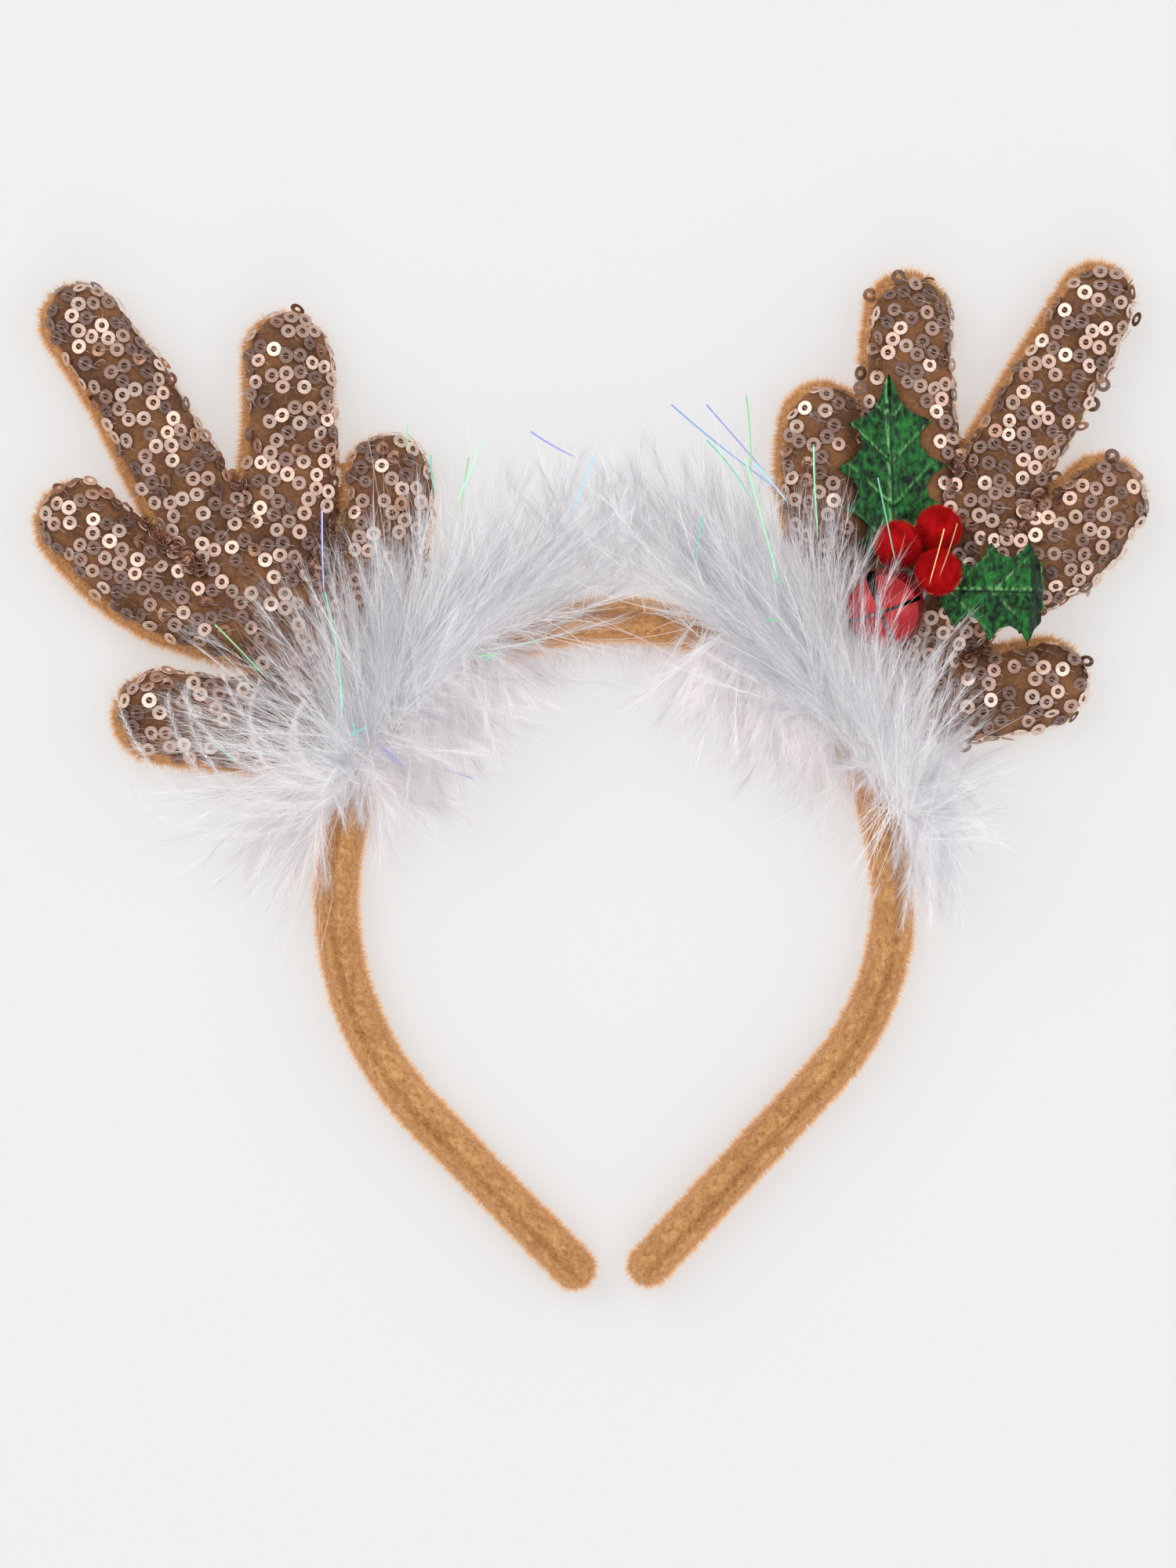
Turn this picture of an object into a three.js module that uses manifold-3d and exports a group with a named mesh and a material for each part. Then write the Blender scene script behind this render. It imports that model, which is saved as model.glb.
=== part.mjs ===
// Reindeer antler headband: a plush-covered spring band with two stuffed antlers,
// a marabou trim, and a sprig of holly with three berries and a jingle bell.
// It lies on its back. Millimetres, +Z up, +Y towards the antler tips.
import * as THREE from "three";
import { mergeVertices } from "three/addons/utils/BufferGeometryUtils.js";
import Module from "manifold-3d";

const wasm = await Module();
wasm.setup();

const clearance = 0.35; // between two neighbouring pieces
const restFlat = 0.9; // how far the soft undersides are pressed flat where they rest

const band = {
  crownRadius: 60.3, // centreline of the half circle over the head
  thickness: 9, // across the wall, pile included
  depth: 13, // front to back
  seamDent: 0.9, // the stitched line along the front
  sides: 12,
  step: 8,
  tipSteps: 3,
};
const leftLeg = { bendRadius: 67.5, bendTurn: 44.4, tailLength: 46 };
const rightLeg = { bendRadius: 57.5, bendTurn: 43, tailLength: 55 };

const antler = {
  reach: 110, // root to the middle of the longest prong's tip
  prongWidth: 19.6,
  prongThickness: 13.2,
  palmPuff: 1.25, // the palm's thickness as a share of a prong's
  rootTurn: 37, // where the root meets the crown, in degrees above the side
  seamLift: 1.2, // how far the seam lies in front of the middle
  sides: 12,
  tipSteps: 3,
};

// Each prong runs from its tip into the palm. out and up are shares of the reach,
// width of prongWidth and puff of prongThickness.
const leftProngs = {
  long: [
    { out: 0.615, up: 0.805, width: 0.87, puff: 0.92 },
    { out: 0.514, up: 0.666, width: 0.97, puff: 1.0 },
    { out: 0.411, up: 0.473, width: 1.05, puff: 1.05 },
    { out: 0.295, up: 0.326, width: 1.05, puff: 1.05 },
  ],
  upright: [
    { out: 0.208, up: 0.739, width: 0.97, puff: 0.96 },
    { out: 0.2, up: 0.604, width: 1.05, puff: 1.02 },
    { out: 0.217, up: 0.388, width: 1.1, puff: 1.05 },
  ],
  short: [
    { out: 0.009, up: 0.493, width: 1.02, puff: 0.96 },
    { out: 0.02, up: 0.372, width: 1.05, puff: 1.0 },
    { out: 0.109, up: 0.218, width: 1.1, puff: 1.05 },
  ],
  side: [
    { out: 0.615, up: 0.406, width: 0.99, puff: 0.96 },
    { out: 0.542, up: 0.334, width: 1.04, puff: 1.0 },
    { out: 0.442, up: 0.264, width: 1.06, puff: 1.05 },
    { out: 0.279, up: 0.218, width: 1.1, puff: 1.1 },
  ],
  low: [
    { out: 0.457, up: 0.029, width: 1.04, puff: 0.96 },
    { out: 0.264, up: 0.009, width: 1.04, puff: 1.0 },
    { out: 0.109, up: 0.04, width: 1.04, puff: 1.0 },
  ],
  palm: [
    { out: 0.05, up: 0.042, width: 0.75, puff: 0.8 },
    { out: 0.1, up: 0.085, width: 1.1, puff: 1.1 },
    { out: 0.217, up: 0.218, width: 1.39, puff: 1.25 },
    { out: 0.295, up: 0.334, width: 1.28, puff: 1.2 },
  ],
};
const rightProngs = {
  long: [
    { out: 0.51, up: 0.843, width: 0.87, puff: 0.92 },
    { out: 0.412, up: 0.667, width: 0.99, puff: 1.0 },
    { out: 0.301, up: 0.474, width: 1.03, puff: 1.05 },
    { out: 0.244, up: 0.358, width: 1.06, puff: 1.05 },
  ],
  upright: [
    { out: 0.139, up: 0.814, width: 0.97, puff: 0.96 },
    { out: 0.136, up: 0.667, width: 1.05, puff: 1.02 },
    { out: 0.159, up: 0.42, width: 1.08, puff: 1.05 },
  ],
  short: [
    { out: -0.027, up: 0.597, width: 0.99, puff: 0.96 },
    { out: -0.034, up: 0.481, width: 1.0, puff: 1.0 },
    { out: 0.027, up: 0.28, width: 1.08, puff: 1.05 },
  ],
  side: [
    { out: 0.522, up: 0.455, width: 0.99, puff: 0.96 },
    { out: 0.437, up: 0.362, width: 1.15, puff: 1.05 },
    { out: 0.29, up: 0.304, width: 1.25, puff: 1.1 },
  ],
  low: [
    { out: 0.406, up: 0.094, width: 1.01, puff: 0.96 },
    { out: 0.251, up: 0.066, width: 1.02, puff: 1.0 },
    { out: 0.097, up: 0.064, width: 1.02, puff: 1.0 },
  ],
  palm: [
    { out: 0.05, up: 0.045, width: 0.75, puff: 0.8 },
    { out: 0.095, up: 0.1, width: 1.1, puff: 1.1 },
    { out: 0.197, up: 0.242, width: 1.39, puff: 1.25 },
    { out: 0.251, up: 0.358, width: 1.25, puff: 1.2 },
  ],
};

const leaf = { length: 40, halfWidth: 11, thickness: 1, droop: 1.4, ribDent: 0.5 };
// The scalloped edge: half widths as shares of halfWidth, at shares of the length.
const leafEdge = [
  { along: 0, half: 0.18 },
  { along: 0.09, half: 0.62 },
  { along: 0.18, half: 0.58 },
  { along: 0.28, half: 0.9 },
  { along: 0.38, half: 0.74 },
  { along: 0.5, half: 1 },
  { along: 0.61, half: 0.68 },
  { along: 0.74, half: 0.8 },
  { along: 0.81, half: 0.27 },
  { along: 0.9, half: 0.15 },
  { along: 1, half: 0.02 },
];
// Turn and out place a leaf's foot from the middle of the crown; heading is where it points.
// Each bend says how steeply the leaf goes down from that share of its length on.
const uprightLeaf = { turn: 50.4, out: 94.9, heading: 92, bends: [{ from: 0, down: 0 }] };
const foldedLeaf = {
  turn: 43.5,
  out: 96.3,
  heading: -1,
  bends: [
    { from: 0, down: 0 },
    { from: 0.5, down: 52 },
    { from: 0.61, down: 168 },
  ],
};

const bell = {
  radius: 8.9,
  wall: 0.6,
  slotWidth: 0.9,
  slotFlare: 1.9, // slot width at its outer end
  slotReach: 0.8, // share of the radius that a slot reaches out from the middle
  slotTurn: 23,
  loopRadius: 1.9,
  loopWire: 0.55,
  pelletRadius: 2.2,
  turn: 47.1,
  out: 85.2,
  sides: 18,
  rows: 11,
};
const berry = { sides: 12, rows: 8 };
const berryRows = [
  { name: "berry_lower", turn: 45.3, out: 98.8, radius: 4.4 },
  { name: "berry_left", turn: 51.3, out: 97.6, radius: 4.6 },
  { name: "berry_top", turn: 48.8, out: 106, radius: 4.4 },
];

const trim = {
  reach: 34, // from the cord to the feather tips
  lift: 2.4, // the cord's middle above the band
  lockDepth: 0.2, // how far lock tips and the hollows between them depart from the mean
  sway: 0.12, // and how far each lock strays from that, longer or shorter
  lockPitch: 6.2, // degrees between two rows of locks
  sides: 14,
  floorGap: 3,
};
// At places round the crown: how far the cord lies out from the band's centreline, as a
// share of its thickness, and how far the feathers stand from the cord, as shares of reach.
const trimSections = [
  { turn: 184, beside: 0.2, outward: 0.2, inward: 0.14, rise: 0.12, droop: 0.12 },
  { turn: 178, beside: 0.2, outward: 0.8, inward: 0.28, rise: 0.22, droop: 0.3 },
  { turn: 168, beside: 0.2, outward: 1.08, inward: 0.4, rise: 0.32, droop: 0.38 },
  { turn: 156, beside: 0.2, outward: 1.02, inward: 0.46, rise: 0.46, droop: 0.4 },
  { turn: 138, beside: 0.25, outward: 0.8, inward: 0.46, rise: 0.5, droop: 0.4 },
  { turn: 122, beside: 0.45, outward: 0.74, inward: 0.42, rise: 0.48, droop: 0.4 },
  { turn: 110, beside: 1, outward: 0.62, inward: 0.16, rise: 0.4, droop: 0.4 },
  { turn: 90, beside: 1.1, outward: 0.62, inward: 0.13, rise: 0.38, droop: 0.4 },
  { turn: 70, beside: 1, outward: 0.6, inward: 0.16, rise: 0.4, droop: 0.4 },
  { turn: 58, beside: 0.4, outward: 0.62, inward: 0.42, rise: 0.48, droop: 0.4 },
  { turn: 48, beside: 0.2, outward: 0.5, inward: 0.46, rise: 0.5, droop: 0.4 },
  { turn: 34, beside: 0.2, outward: 0.56, inward: 0.44, rise: 0.56, droop: 0.4 },
  { turn: 20, beside: 0.2, outward: 0.72, inward: 0.42, rise: 0.48, droop: 0.38 },
  { turn: 7, beside: 0.2, outward: 0.6, inward: 0.34, rise: 0.26, droop: 0.3 },
  { turn: -3, beside: 0.2, outward: 0.2, inward: 0.14, rise: 0.1, droop: 0.12 },
];

const degrees = THREE.MathUtils.degToRad;
const up = new THREE.Vector3(0, 0, 1);

// A point at a turn and a distance from the middle of the crown.
function around(turn, out, height = 0) {
  const angle = degrees(turn);
  return new THREE.Vector3(out * Math.cos(angle), out * Math.sin(angle), height);
}

// A value between -1 and 1 that looks random and never changes.
function scatter(index) {
  const wave = Math.sin(index * 12.9898 + 4.1) * 437.585;
  return 2 * (wave - Math.floor(wave)) - 1;
}

// The value of one column of a table, between its rows, at a share of the way.
function column(rows, key, share, place = null) {
  const spots = rows.map((row, i) => (place ? row[place] : i / (rows.length - 1)));
  const rises = spots.at(-1) > spots[0] ? 1 : -1;
  let i = 1;
  while (i < rows.length - 1 && rises * (share - spots[i]) > 0) i++;
  const mix = THREE.MathUtils.clamp((share - spots[i - 1]) / (spots[i] - spots[i - 1]), 0, 1);
  return THREE.MathUtils.lerp(rows[i - 1][key], rows[i][key], mix);
}

function geometryOf(points, faces) {
  const geometry = new THREE.BufferGeometry();
  geometry.setAttribute("position", new THREE.Float32BufferAttribute(points.flatMap((p) => p.toArray()), 3));
  geometry.setIndex(faces.flat());
  return geometry;
}

function solidOf(geometry) {
  const bare = geometry.clone();
  bare.deleteAttribute("normal");
  bare.deleteAttribute("uv");
  const merged = mergeVertices(bare, 1e-4);
  const mesh = new wasm.Mesh({
    numProp: 3,
    vertProperties: new Float32Array(merged.attributes.position.array),
    triVerts: new Uint32Array(merged.index.array),
  });
  return new wasm.Manifold(mesh);
}

function geometryFrom(solid) {
  const mesh = solid.getMesh();
  const geometry = new THREE.BufferGeometry();
  geometry.setAttribute("position", new THREE.BufferAttribute(mesh.vertProperties, 3));
  geometry.setIndex(new THREE.BufferAttribute(mesh.triVerts, 1));
  geometry.computeVertexNormals();
  return geometry;
}

// The largest of the bodies that a cut has left.
function largest(solid) {
  return solid.decompose().reduce((a, b) => (a.volume() > b.volume() ? a : b));
}

// A closed skin over a row of rings, each ring a list of points turning the same way.
function loft(rings) {
  const sides = rings[0].length;
  const middle = (ring) => ring.reduce((sum, p) => sum.add(p), new THREE.Vector3()).divideScalar(sides);
  const points = [...rings.flat(), middle(rings[0]), middle(rings.at(-1))];
  const first = points.length - 2;
  const last = points.length - 1;
  const faces = [];
  for (let j = 0; j < sides; j++) {
    const next = (j + 1) % sides;
    for (let i = 0; i < rings.length - 1; i++) {
      const [a, b] = [i * sides + j, i * sides + next];
      faces.push([a, b, b + sides], [a, b + sides, a + sides]);
    }
    const end = (rings.length - 1) * sides;
    faces.push([first, next, j], [last, end + j, end + next]);
  }
  return geometryOf(points, faces);
}

// A ring of an oval section: wide across, thick towards its own up, dented at one corner.
function ovalRing(at, along, wide, thick, sides, dent = null) {
  const side = new THREE.Vector3().crossVectors(up, along).normalize();
  const rise = new THREE.Vector3().crossVectors(along, side).normalize();
  return Array.from({ length: sides }, (_, j) => {
    const angle = (2 * Math.PI * j) / sides;
    const sink = dent && j === dent.corner ? 1 - dent.depth / thick : 1;
    return at
      .clone()
      .addScaledVector(side, wide * Math.cos(angle) * sink)
      .addScaledVector(rise, thick * Math.sin(angle) * sink);
  });
}

// A soft tube along a line of stations, rounded at both ends.
function roundedTube(stations, sides, tipSteps, dent = null) {
  const lastStep = 0.75; // the last ring stops short of the tip, which is closed flat
  const tip = (station, sign) =>
    Array.from({ length: tipSteps }, (_, k) => {
      const angle = (Math.PI / 2) * ((k + lastStep) / tipSteps);
      const at = station.at.clone().addScaledVector(station.along, sign * station.wide * Math.sin(angle));
      const shrink = Math.cos(angle);
      return { ...station, at, wide: station.wide * shrink, thick: station.thick * shrink };
    });
  const line = [...tip(stations[0], -1).reverse(), ...stations, ...tip(stations.at(-1), 1)];
  return loft(line.map((s) => ovalRing(s.at, s.along, s.wide, s.thick, sides, dent)));
}

// The band's centreline, from the left tip over the crown to the right tip.
function bandPath() {
  const path = new THREE.Path();
  const side = (leg, sign) => {
    const turn = degrees(leg.bendTurn);
    const middle = sign * (band.crownRadius - leg.bendRadius);
    const foot = new THREE.Vector2(middle + sign * leg.bendRadius * Math.cos(turn), -leg.bendRadius * Math.sin(turn));
    const tip = new THREE.Vector2(-sign * Math.sin(turn), -Math.cos(turn)).multiplyScalar(leg.tailLength).add(foot);
    return { turn, middle, foot, tip };
  };
  const left = side(leftLeg, -1);
  const right = side(rightLeg, 1);
  path.moveTo(left.tip.x, left.tip.y);
  path.lineTo(left.foot.x, left.foot.y);
  path.absarc(left.middle, 0, leftLeg.bendRadius, Math.PI + left.turn, Math.PI, true);
  path.absarc(0, 0, band.crownRadius, Math.PI, 0, true);
  path.absarc(right.middle, 0, rightLeg.bendRadius, 0, -right.turn, true);
  path.lineTo(right.tip.x, right.tip.y);
  return path;
}

const bandHeight = band.depth / 2 - restFlat; // the band's centreline above the surface

function bandSolid(grow = 0) {
  const path = bandPath();
  const steps = Math.round(path.getLength() / band.step);
  const stations = Array.from({ length: steps + 1 }, (_, i) => {
    const at = path.getPointAt(i / steps);
    const along = path.getTangentAt(i / steps);
    return {
      at: new THREE.Vector3(at.x, at.y, bandHeight),
      along: new THREE.Vector3(along.x, along.y, 0),
      wide: band.thickness / 2 + grow,
      thick: band.depth / 2 + grow,
    };
  });
  const dent = grow ? null : { corner: band.sides / 4, depth: band.seamDent };
  return solidOf(roundedTube(stations, band.sides, band.tipSteps, dent));
}

// A slab that reaches past the whole object, between two heights.
function slab(low, high) {
  const reach = 8 * antler.reach;
  const box = new THREE.BoxGeometry(reach, reach, high - low);
  box.translate(0, 0, (low + high) / 2);
  return solidOf(box);
}
const underSurface = slab(-2 * antler.reach, 0);

const antlerMiddle = (antler.palmPuff * antler.prongThickness) / 2 - restFlat;

function prongSolid(rows, root, sign, grow) {
  const line = new THREE.CatmullRomCurve3(
    rows.map((row) => new THREE.Vector3(sign * row.out, row.up, 0).multiplyScalar(antler.reach).add(root)),
  );
  const steps = 2 * (rows.length - 1);
  const stations = Array.from({ length: steps + 1 }, (_, i) => {
    const share = i / steps;
    return {
      at: line.getPoint(share),
      along: line.getTangent(share),
      wide: (antler.prongWidth * column(rows, "width", share)) / 2 + grow,
      thick: (antler.prongThickness * column(rows, "puff", share)) / 2 + grow,
    };
  });
  return solidOf(roundedTube(stations, antler.sides, antler.tipSteps));
}

// One whole antler: its prongs joined to the palm, clear of the band and flat below.
function antlerSolid(prongs, sign, grow = 0) {
  const root = around(sign > 0 ? antler.rootTurn : 180 - antler.rootTurn, band.crownRadius, antlerMiddle);
  const joined = Object.values(prongs)
    .map((rows) => prongSolid(rows, root, sign, grow))
    .reduce((a, b) => a.add(b));
  return grow ? joined : largest(joined.subtract(bandSolid(clearance)).subtract(underSurface));
}

// The front cloth and the plush back, parted at the seam.
function antlerHalves(prongs, sign) {
  const whole = antlerSolid(prongs, sign);
  const seam = antlerMiddle + antler.seamLift;
  const front = whole.subtract(slab(-2 * antler.reach, seam + clearance / 2));
  const back = whole.subtract(slab(seam - clearance / 2, 2 * antler.reach));
  return { front: largest(front), back: largest(back) };
}

const materials = {
  plush: new THREE.MeshStandardMaterial({ color: 0xc98f52, roughness: 0.95 }),
  sequinCloth: new THREE.MeshStandardMaterial({ color: 0x8a5d3c, roughness: 0.6, metalness: 0.2 }),
  feather: new THREE.MeshStandardMaterial({ color: 0xeeeef2, roughness: 0.9 }),
  foilLeaf: new THREE.MeshStandardMaterial({ color: 0x1c6b34, roughness: 0.3, metalness: 0.5 }),
  berryFelt: new THREE.MeshStandardMaterial({ color: 0xb0101a, roughness: 0.95 }),
  redMetal: new THREE.MeshStandardMaterial({ color: 0xc92a2e, roughness: 0.35, metalness: 0.6 }),
  steel: new THREE.MeshStandardMaterial({ color: 0x9a9a9c, roughness: 0.4, metalness: 1 }),
};

const headband = new THREE.Group();

function addPiece(name, solid, material) {
  const mesh = new THREE.Mesh(geometryFrom(solid), material);
  mesh.name = name;
  headband.add(mesh);
  return mesh;
}

// How high the pieces given stand at one place, or the surface where there is none.
const probe = new THREE.Raycaster();
function heightAt(pieces, x, y) {
  probe.set(new THREE.Vector3(x, y, 4 * antler.reach), new THREE.Vector3(0, 0, -1));
  const hit = probe.intersectObjects(pieces, false)[0];
  return hit ? hit.point.z : 0;
}

// The height at which a ball dropped at one place comes to rest on the pieces given.
function restHeight(pieces, x, y, radius) {
  const reach = radius + clearance;
  const rings = 6;
  const spokes = 16;
  let height = heightAt(pieces, x, y) + reach;
  for (let ring = 1; ring <= rings; ring++) {
    const out = (reach * ring) / (rings + 0.5);
    for (let spoke = 0; spoke < spokes; spoke++) {
      const angle = (2 * Math.PI * spoke) / spokes;
      const below = heightAt(pieces, x + out * Math.cos(angle), y + out * Math.sin(angle));
      height = Math.max(height, below + Math.sqrt(reach * reach - out * out));
    }
  }
  return height;
}

// The midrib of a leaf seen from the side: where each row lies and which way is up there.
function leafProfile(bends) {
  const pitchFrom = (share) => degrees(bends.findLast((bend) => bend.from <= share).down);
  const step = new THREE.Vector2();
  const at = new THREE.Vector2();
  return leafEdge.map((row, i) => {
    const before = pitchFrom(Math.max(0, leafEdge[Math.max(0, i - 1)].along));
    const after = pitchFrom(Math.min(row.along, leafEdge.at(-2).along));
    if (i > 0) {
      const run = (row.along - leafEdge[i - 1].along) * leaf.length;
      at.add(step.set(run * Math.cos(before), -run * Math.sin(before)));
    }
    const pitch = (before + after) / 2;
    const miter = 1 / Math.cos((after - before) / 2);
    return { run: at.x, height: at.y, lean: Math.sin(pitch) * miter, rise: Math.cos(pitch) * miter, ...row };
  });
}

// A holly leaf as a closed sheet with its foot at the origin.
function leafSheet(place, grow = 0) {
  const acrossShares = [-1, -0.5, 0, 0.5, 1];
  const profile = leafProfile(place.bends);
  const heading = degrees(place.heading);
  const forward = new THREE.Vector3(Math.cos(heading), Math.sin(heading), 0);
  const left = new THREE.Vector3().crossVectors(up, forward);
  const upper = [];
  const lower = [];
  for (const row of profile) {
    const half = leaf.halfWidth * row.half + grow;
    for (const across of acrossShares) {
      const rib = leaf.ribDent * Math.max(0, 1 - 2 * Math.abs(across));
      const sag = leaf.droop * Math.abs(across) * row.half + rib;
      const skin = (offset) =>
        forward
          .clone()
          .multiplyScalar(row.run + offset * row.lean)
          .addScaledVector(up, row.height + offset * row.rise)
          .addScaledVector(left, across * half);
      upper.push(skin(leaf.thickness / 2 + grow - sag));
      lower.push(skin(-leaf.thickness / 2 - grow - sag));
    }
  }
  const columns = acrossShares.length;
  const rows = profile.length;
  const total = upper.length;
  const faces = [];
  const quad = (a, b, c, d) => faces.push([a, b, c], [a, c, d]);
  for (let i = 0; i < rows - 1; i++) {
    for (let j = 0; j < columns - 1; j++) {
      const [a, b] = [i * columns + j, i * columns + j + 1];
      quad(a, a + columns, b + columns, b);
      quad(total + a, total + b, total + b + columns, total + a + columns);
    }
    const near = i * columns;
    const far = near + columns - 1;
    quad(near, total + near, total + near + columns, near + columns);
    quad(far, far + columns, total + far + columns, total + far);
  }
  for (let j = 0; j < columns - 1; j++) {
    const end = (rows - 1) * columns + j;
    quad(j, j + 1, total + j + 1, total + j);
    quad(end, total + end, total + end + 1, end + 1);
  }
  return geometryOf([...upper, ...lower], faces);
}

// A leaf lowered onto the pieces given until its underside rests on them.
function seatedLeaf(place, pieces, grow = 0) {
  const foot = around(place.turn, place.out);
  const bare = leafSheet(place).translate(foot.x, foot.y, 0);
  const spots = bare.attributes.position;
  let lift = -Infinity;
  for (let i = 0; i < spots.count; i++) {
    const below = heightAt(pieces, spots.getX(i), spots.getY(i));
    lift = Math.max(lift, below + clearance - spots.getZ(i));
  }
  return solidOf(leafSheet(place, grow).translate(foot.x, foot.y, lift));
}

// The cutter for the bell's crossed slots: one outline round four flared arms.
function slotCutter() {
  const reach = bell.radius * bell.slotReach;
  const outline = new THREE.Shape();
  const corner = (quarter, x, y) => {
    const angle = (Math.PI / 2) * quarter + degrees(bell.slotTurn);
    return [x * Math.cos(angle) - y * Math.sin(angle), x * Math.sin(angle) + y * Math.cos(angle)];
  };
  const half = bell.slotWidth / 2;
  outline.moveTo(...corner(0, half, -half));
  for (let quarter = 0; quarter < 4; quarter++) {
    outline.lineTo(...corner(quarter, reach, -bell.slotFlare / 2));
    outline.lineTo(...corner(quarter, reach + bell.slotFlare / 2, 0));
    outline.lineTo(...corner(quarter, reach, bell.slotFlare / 2));
    if (quarter < 3) outline.lineTo(...corner(quarter, half, half));
  }
  outline.closePath();
  return new THREE.ExtrudeGeometry(outline, { depth: 2 * bell.radius, bevelEnabled: false });
}

function ball(radius, sides, rows) {
  return new THREE.SphereGeometry(radius, sides, rows).rotateX(Math.PI / 2);
}

// The bell's outer form, with its sewing loop below.
function bellOutside(grow = 0) {
  const loop = new THREE.TorusGeometry(bell.loopRadius, bell.loopWire + grow, 6, 12).rotateX(Math.PI / 2);
  loop.translate(0, 0, bell.wall - bell.radius - bell.loopRadius);
  return solidOf(ball(bell.radius + grow, bell.sides, bell.rows)).add(solidOf(loop));
}

// The hollow bell with its slotted face up.
function bellSolid() {
  const hollow = solidOf(ball(bell.radius - bell.wall, bell.sides, bell.rows));
  return bellOutside().subtract(hollow).subtract(solidOf(slotCutter()));
}

// The marabou trim: rows of pointed locks that stand out from a cord along the crown.
function trimSolid() {
  const height = bandHeight + band.depth / 2 + trim.lift;
  const [start, end] = [trimSections[0].turn, trimSections.at(-1).turn];
  const rows = Math.round((start - end) / trim.lockPitch);
  const rings = Array.from({ length: rows + 1 }, (_, i) => {
    const turn = THREE.MathUtils.lerp(start, end, i / rows);
    const seat = band.crownRadius + band.thickness * column(trimSections, "beside", turn, "turn");
    const size = (key) => trim.reach * column(trimSections, key, turn, "turn");
    return Array.from({ length: trim.sides }, (_, j) => {
      const angle = (2 * Math.PI * j) / trim.sides;
      const [across, rise] = [Math.cos(angle), Math.sin(angle)];
      const flat = across / size(across > 0 ? "outward" : "inward");
      const tall = rise / size(rise > 0 ? "rise" : "droop");
      const lock = 1 + ((i + j) % 2 ? 1 : -1) * trim.lockDepth + trim.sway * scatter(i * trim.sides + j);
      const out = lock / Math.hypot(flat, tall);
      return around(turn, seat + out * across, height + out * rise);
    });
  });
  return solidOf(loft(rings));
}

const bandMesh = addPiece("band", bandSolid().subtract(underSurface), materials.plush);
const leftHalves = antlerHalves(leftProngs, -1);
const rightHalves = antlerHalves(rightProngs, 1);
addPiece("antler_left_face", leftHalves.front, materials.sequinCloth);
addPiece("antler_left_back", leftHalves.back, materials.plush);
const rightFace = addPiece("antler_right_face", rightHalves.front, materials.sequinCloth);
addPiece("antler_right_back", rightHalves.back, materials.plush);

const leafUpright = addPiece("holly_leaf_upright", seatedLeaf(uprightLeaf, [rightFace]), materials.foilLeaf);
const leafFolded = addPiece("holly_leaf_folded", seatedLeaf(foldedLeaf, [rightFace, leafUpright]), materials.foilLeaf);

// The bell stands on its sewing loop, clear of the cloth and the leaves.
const bellSpot = around(bell.turn, bell.out);
const loopDrop = bell.radius + 2 * bell.loopRadius + bell.loopWire - bell.wall;
const carriers = [bandMesh, rightFace, leafUpright, leafFolded];
bellSpot.z = Math.max(
  restHeight(carriers, bellSpot.x, bellSpot.y, bell.radius),
  restHeight(carriers, bellSpot.x, bellSpot.y, bell.loopRadius + bell.loopWire) - bell.loopRadius - bell.loopWire + loopDrop,
);
addPiece("jingle_bell", bellSolid().translate(bellSpot.toArray()), materials.redMetal);
const pelletDrop = bell.radius - bell.wall - bell.pelletRadius - clearance;
const pellet = ball(bell.pelletRadius, berry.sides, berry.rows).translate(bellSpot.x, bellSpot.y, bellSpot.z - pelletDrop);
addPiece("bell_pellet", solidOf(pellet), materials.steel);

const berryBed = [rightFace, leafUpright, leafFolded];
const grownOrnaments = [bellOutside(2 * clearance).translate(bellSpot.toArray())];
for (const { name, turn, out, radius } of berryRows) {
  const spot = around(turn, out);
  spot.z = restHeight(berryBed, spot.x, spot.y, radius);
  const berrySolid = (grow) => solidOf(ball(radius + grow, berry.sides, berry.rows).translate(...spot));
  addPiece(name, berrySolid(0), materials.berryFelt);
  grownOrnaments.push(berrySolid(2 * clearance));
}
grownOrnaments.push(seatedLeaf(uprightLeaf, [rightFace], clearance));
grownOrnaments.push(seatedLeaf(foldedLeaf, [rightFace, leafUpright], clearance));

// The trim is cut clear of all that it lies on.
const carried = [
  bandSolid(clearance),
  antlerSolid(leftProngs, -1, clearance),
  antlerSolid(rightProngs, 1, clearance),
  slab(-2 * antler.reach, trim.floorGap),
  ...grownOrnaments,
];
const trimCut = carried.reduce((rest, solid) => rest.subtract(solid), trimSolid());
addPiece("feather_trim", largest(trimCut), materials.feather);

// The origin is under the middle of the whole object, on the surface that it lies on.
const box = new THREE.Box3().setFromObject(headband);
const middle = box.getCenter(new THREE.Vector3());
headband.position.set(-middle.x, -middle.y, -box.min.z);

const part = new THREE.Group();
part.add(headband);
export default part;
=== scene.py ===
"""Dresses the reindeer antler headband: plush band, stuffed sequin antlers, feather trim and holly."""
import logging
import math
from dataclasses import dataclass, field
from enum import Enum
from typing import Union

import bmesh
import bpy
import numpy as np
from mathutils import Matrix, Vector
from mathutils.bvhtree import BVHTree
from mathutils.kdtree import KDTree


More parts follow.
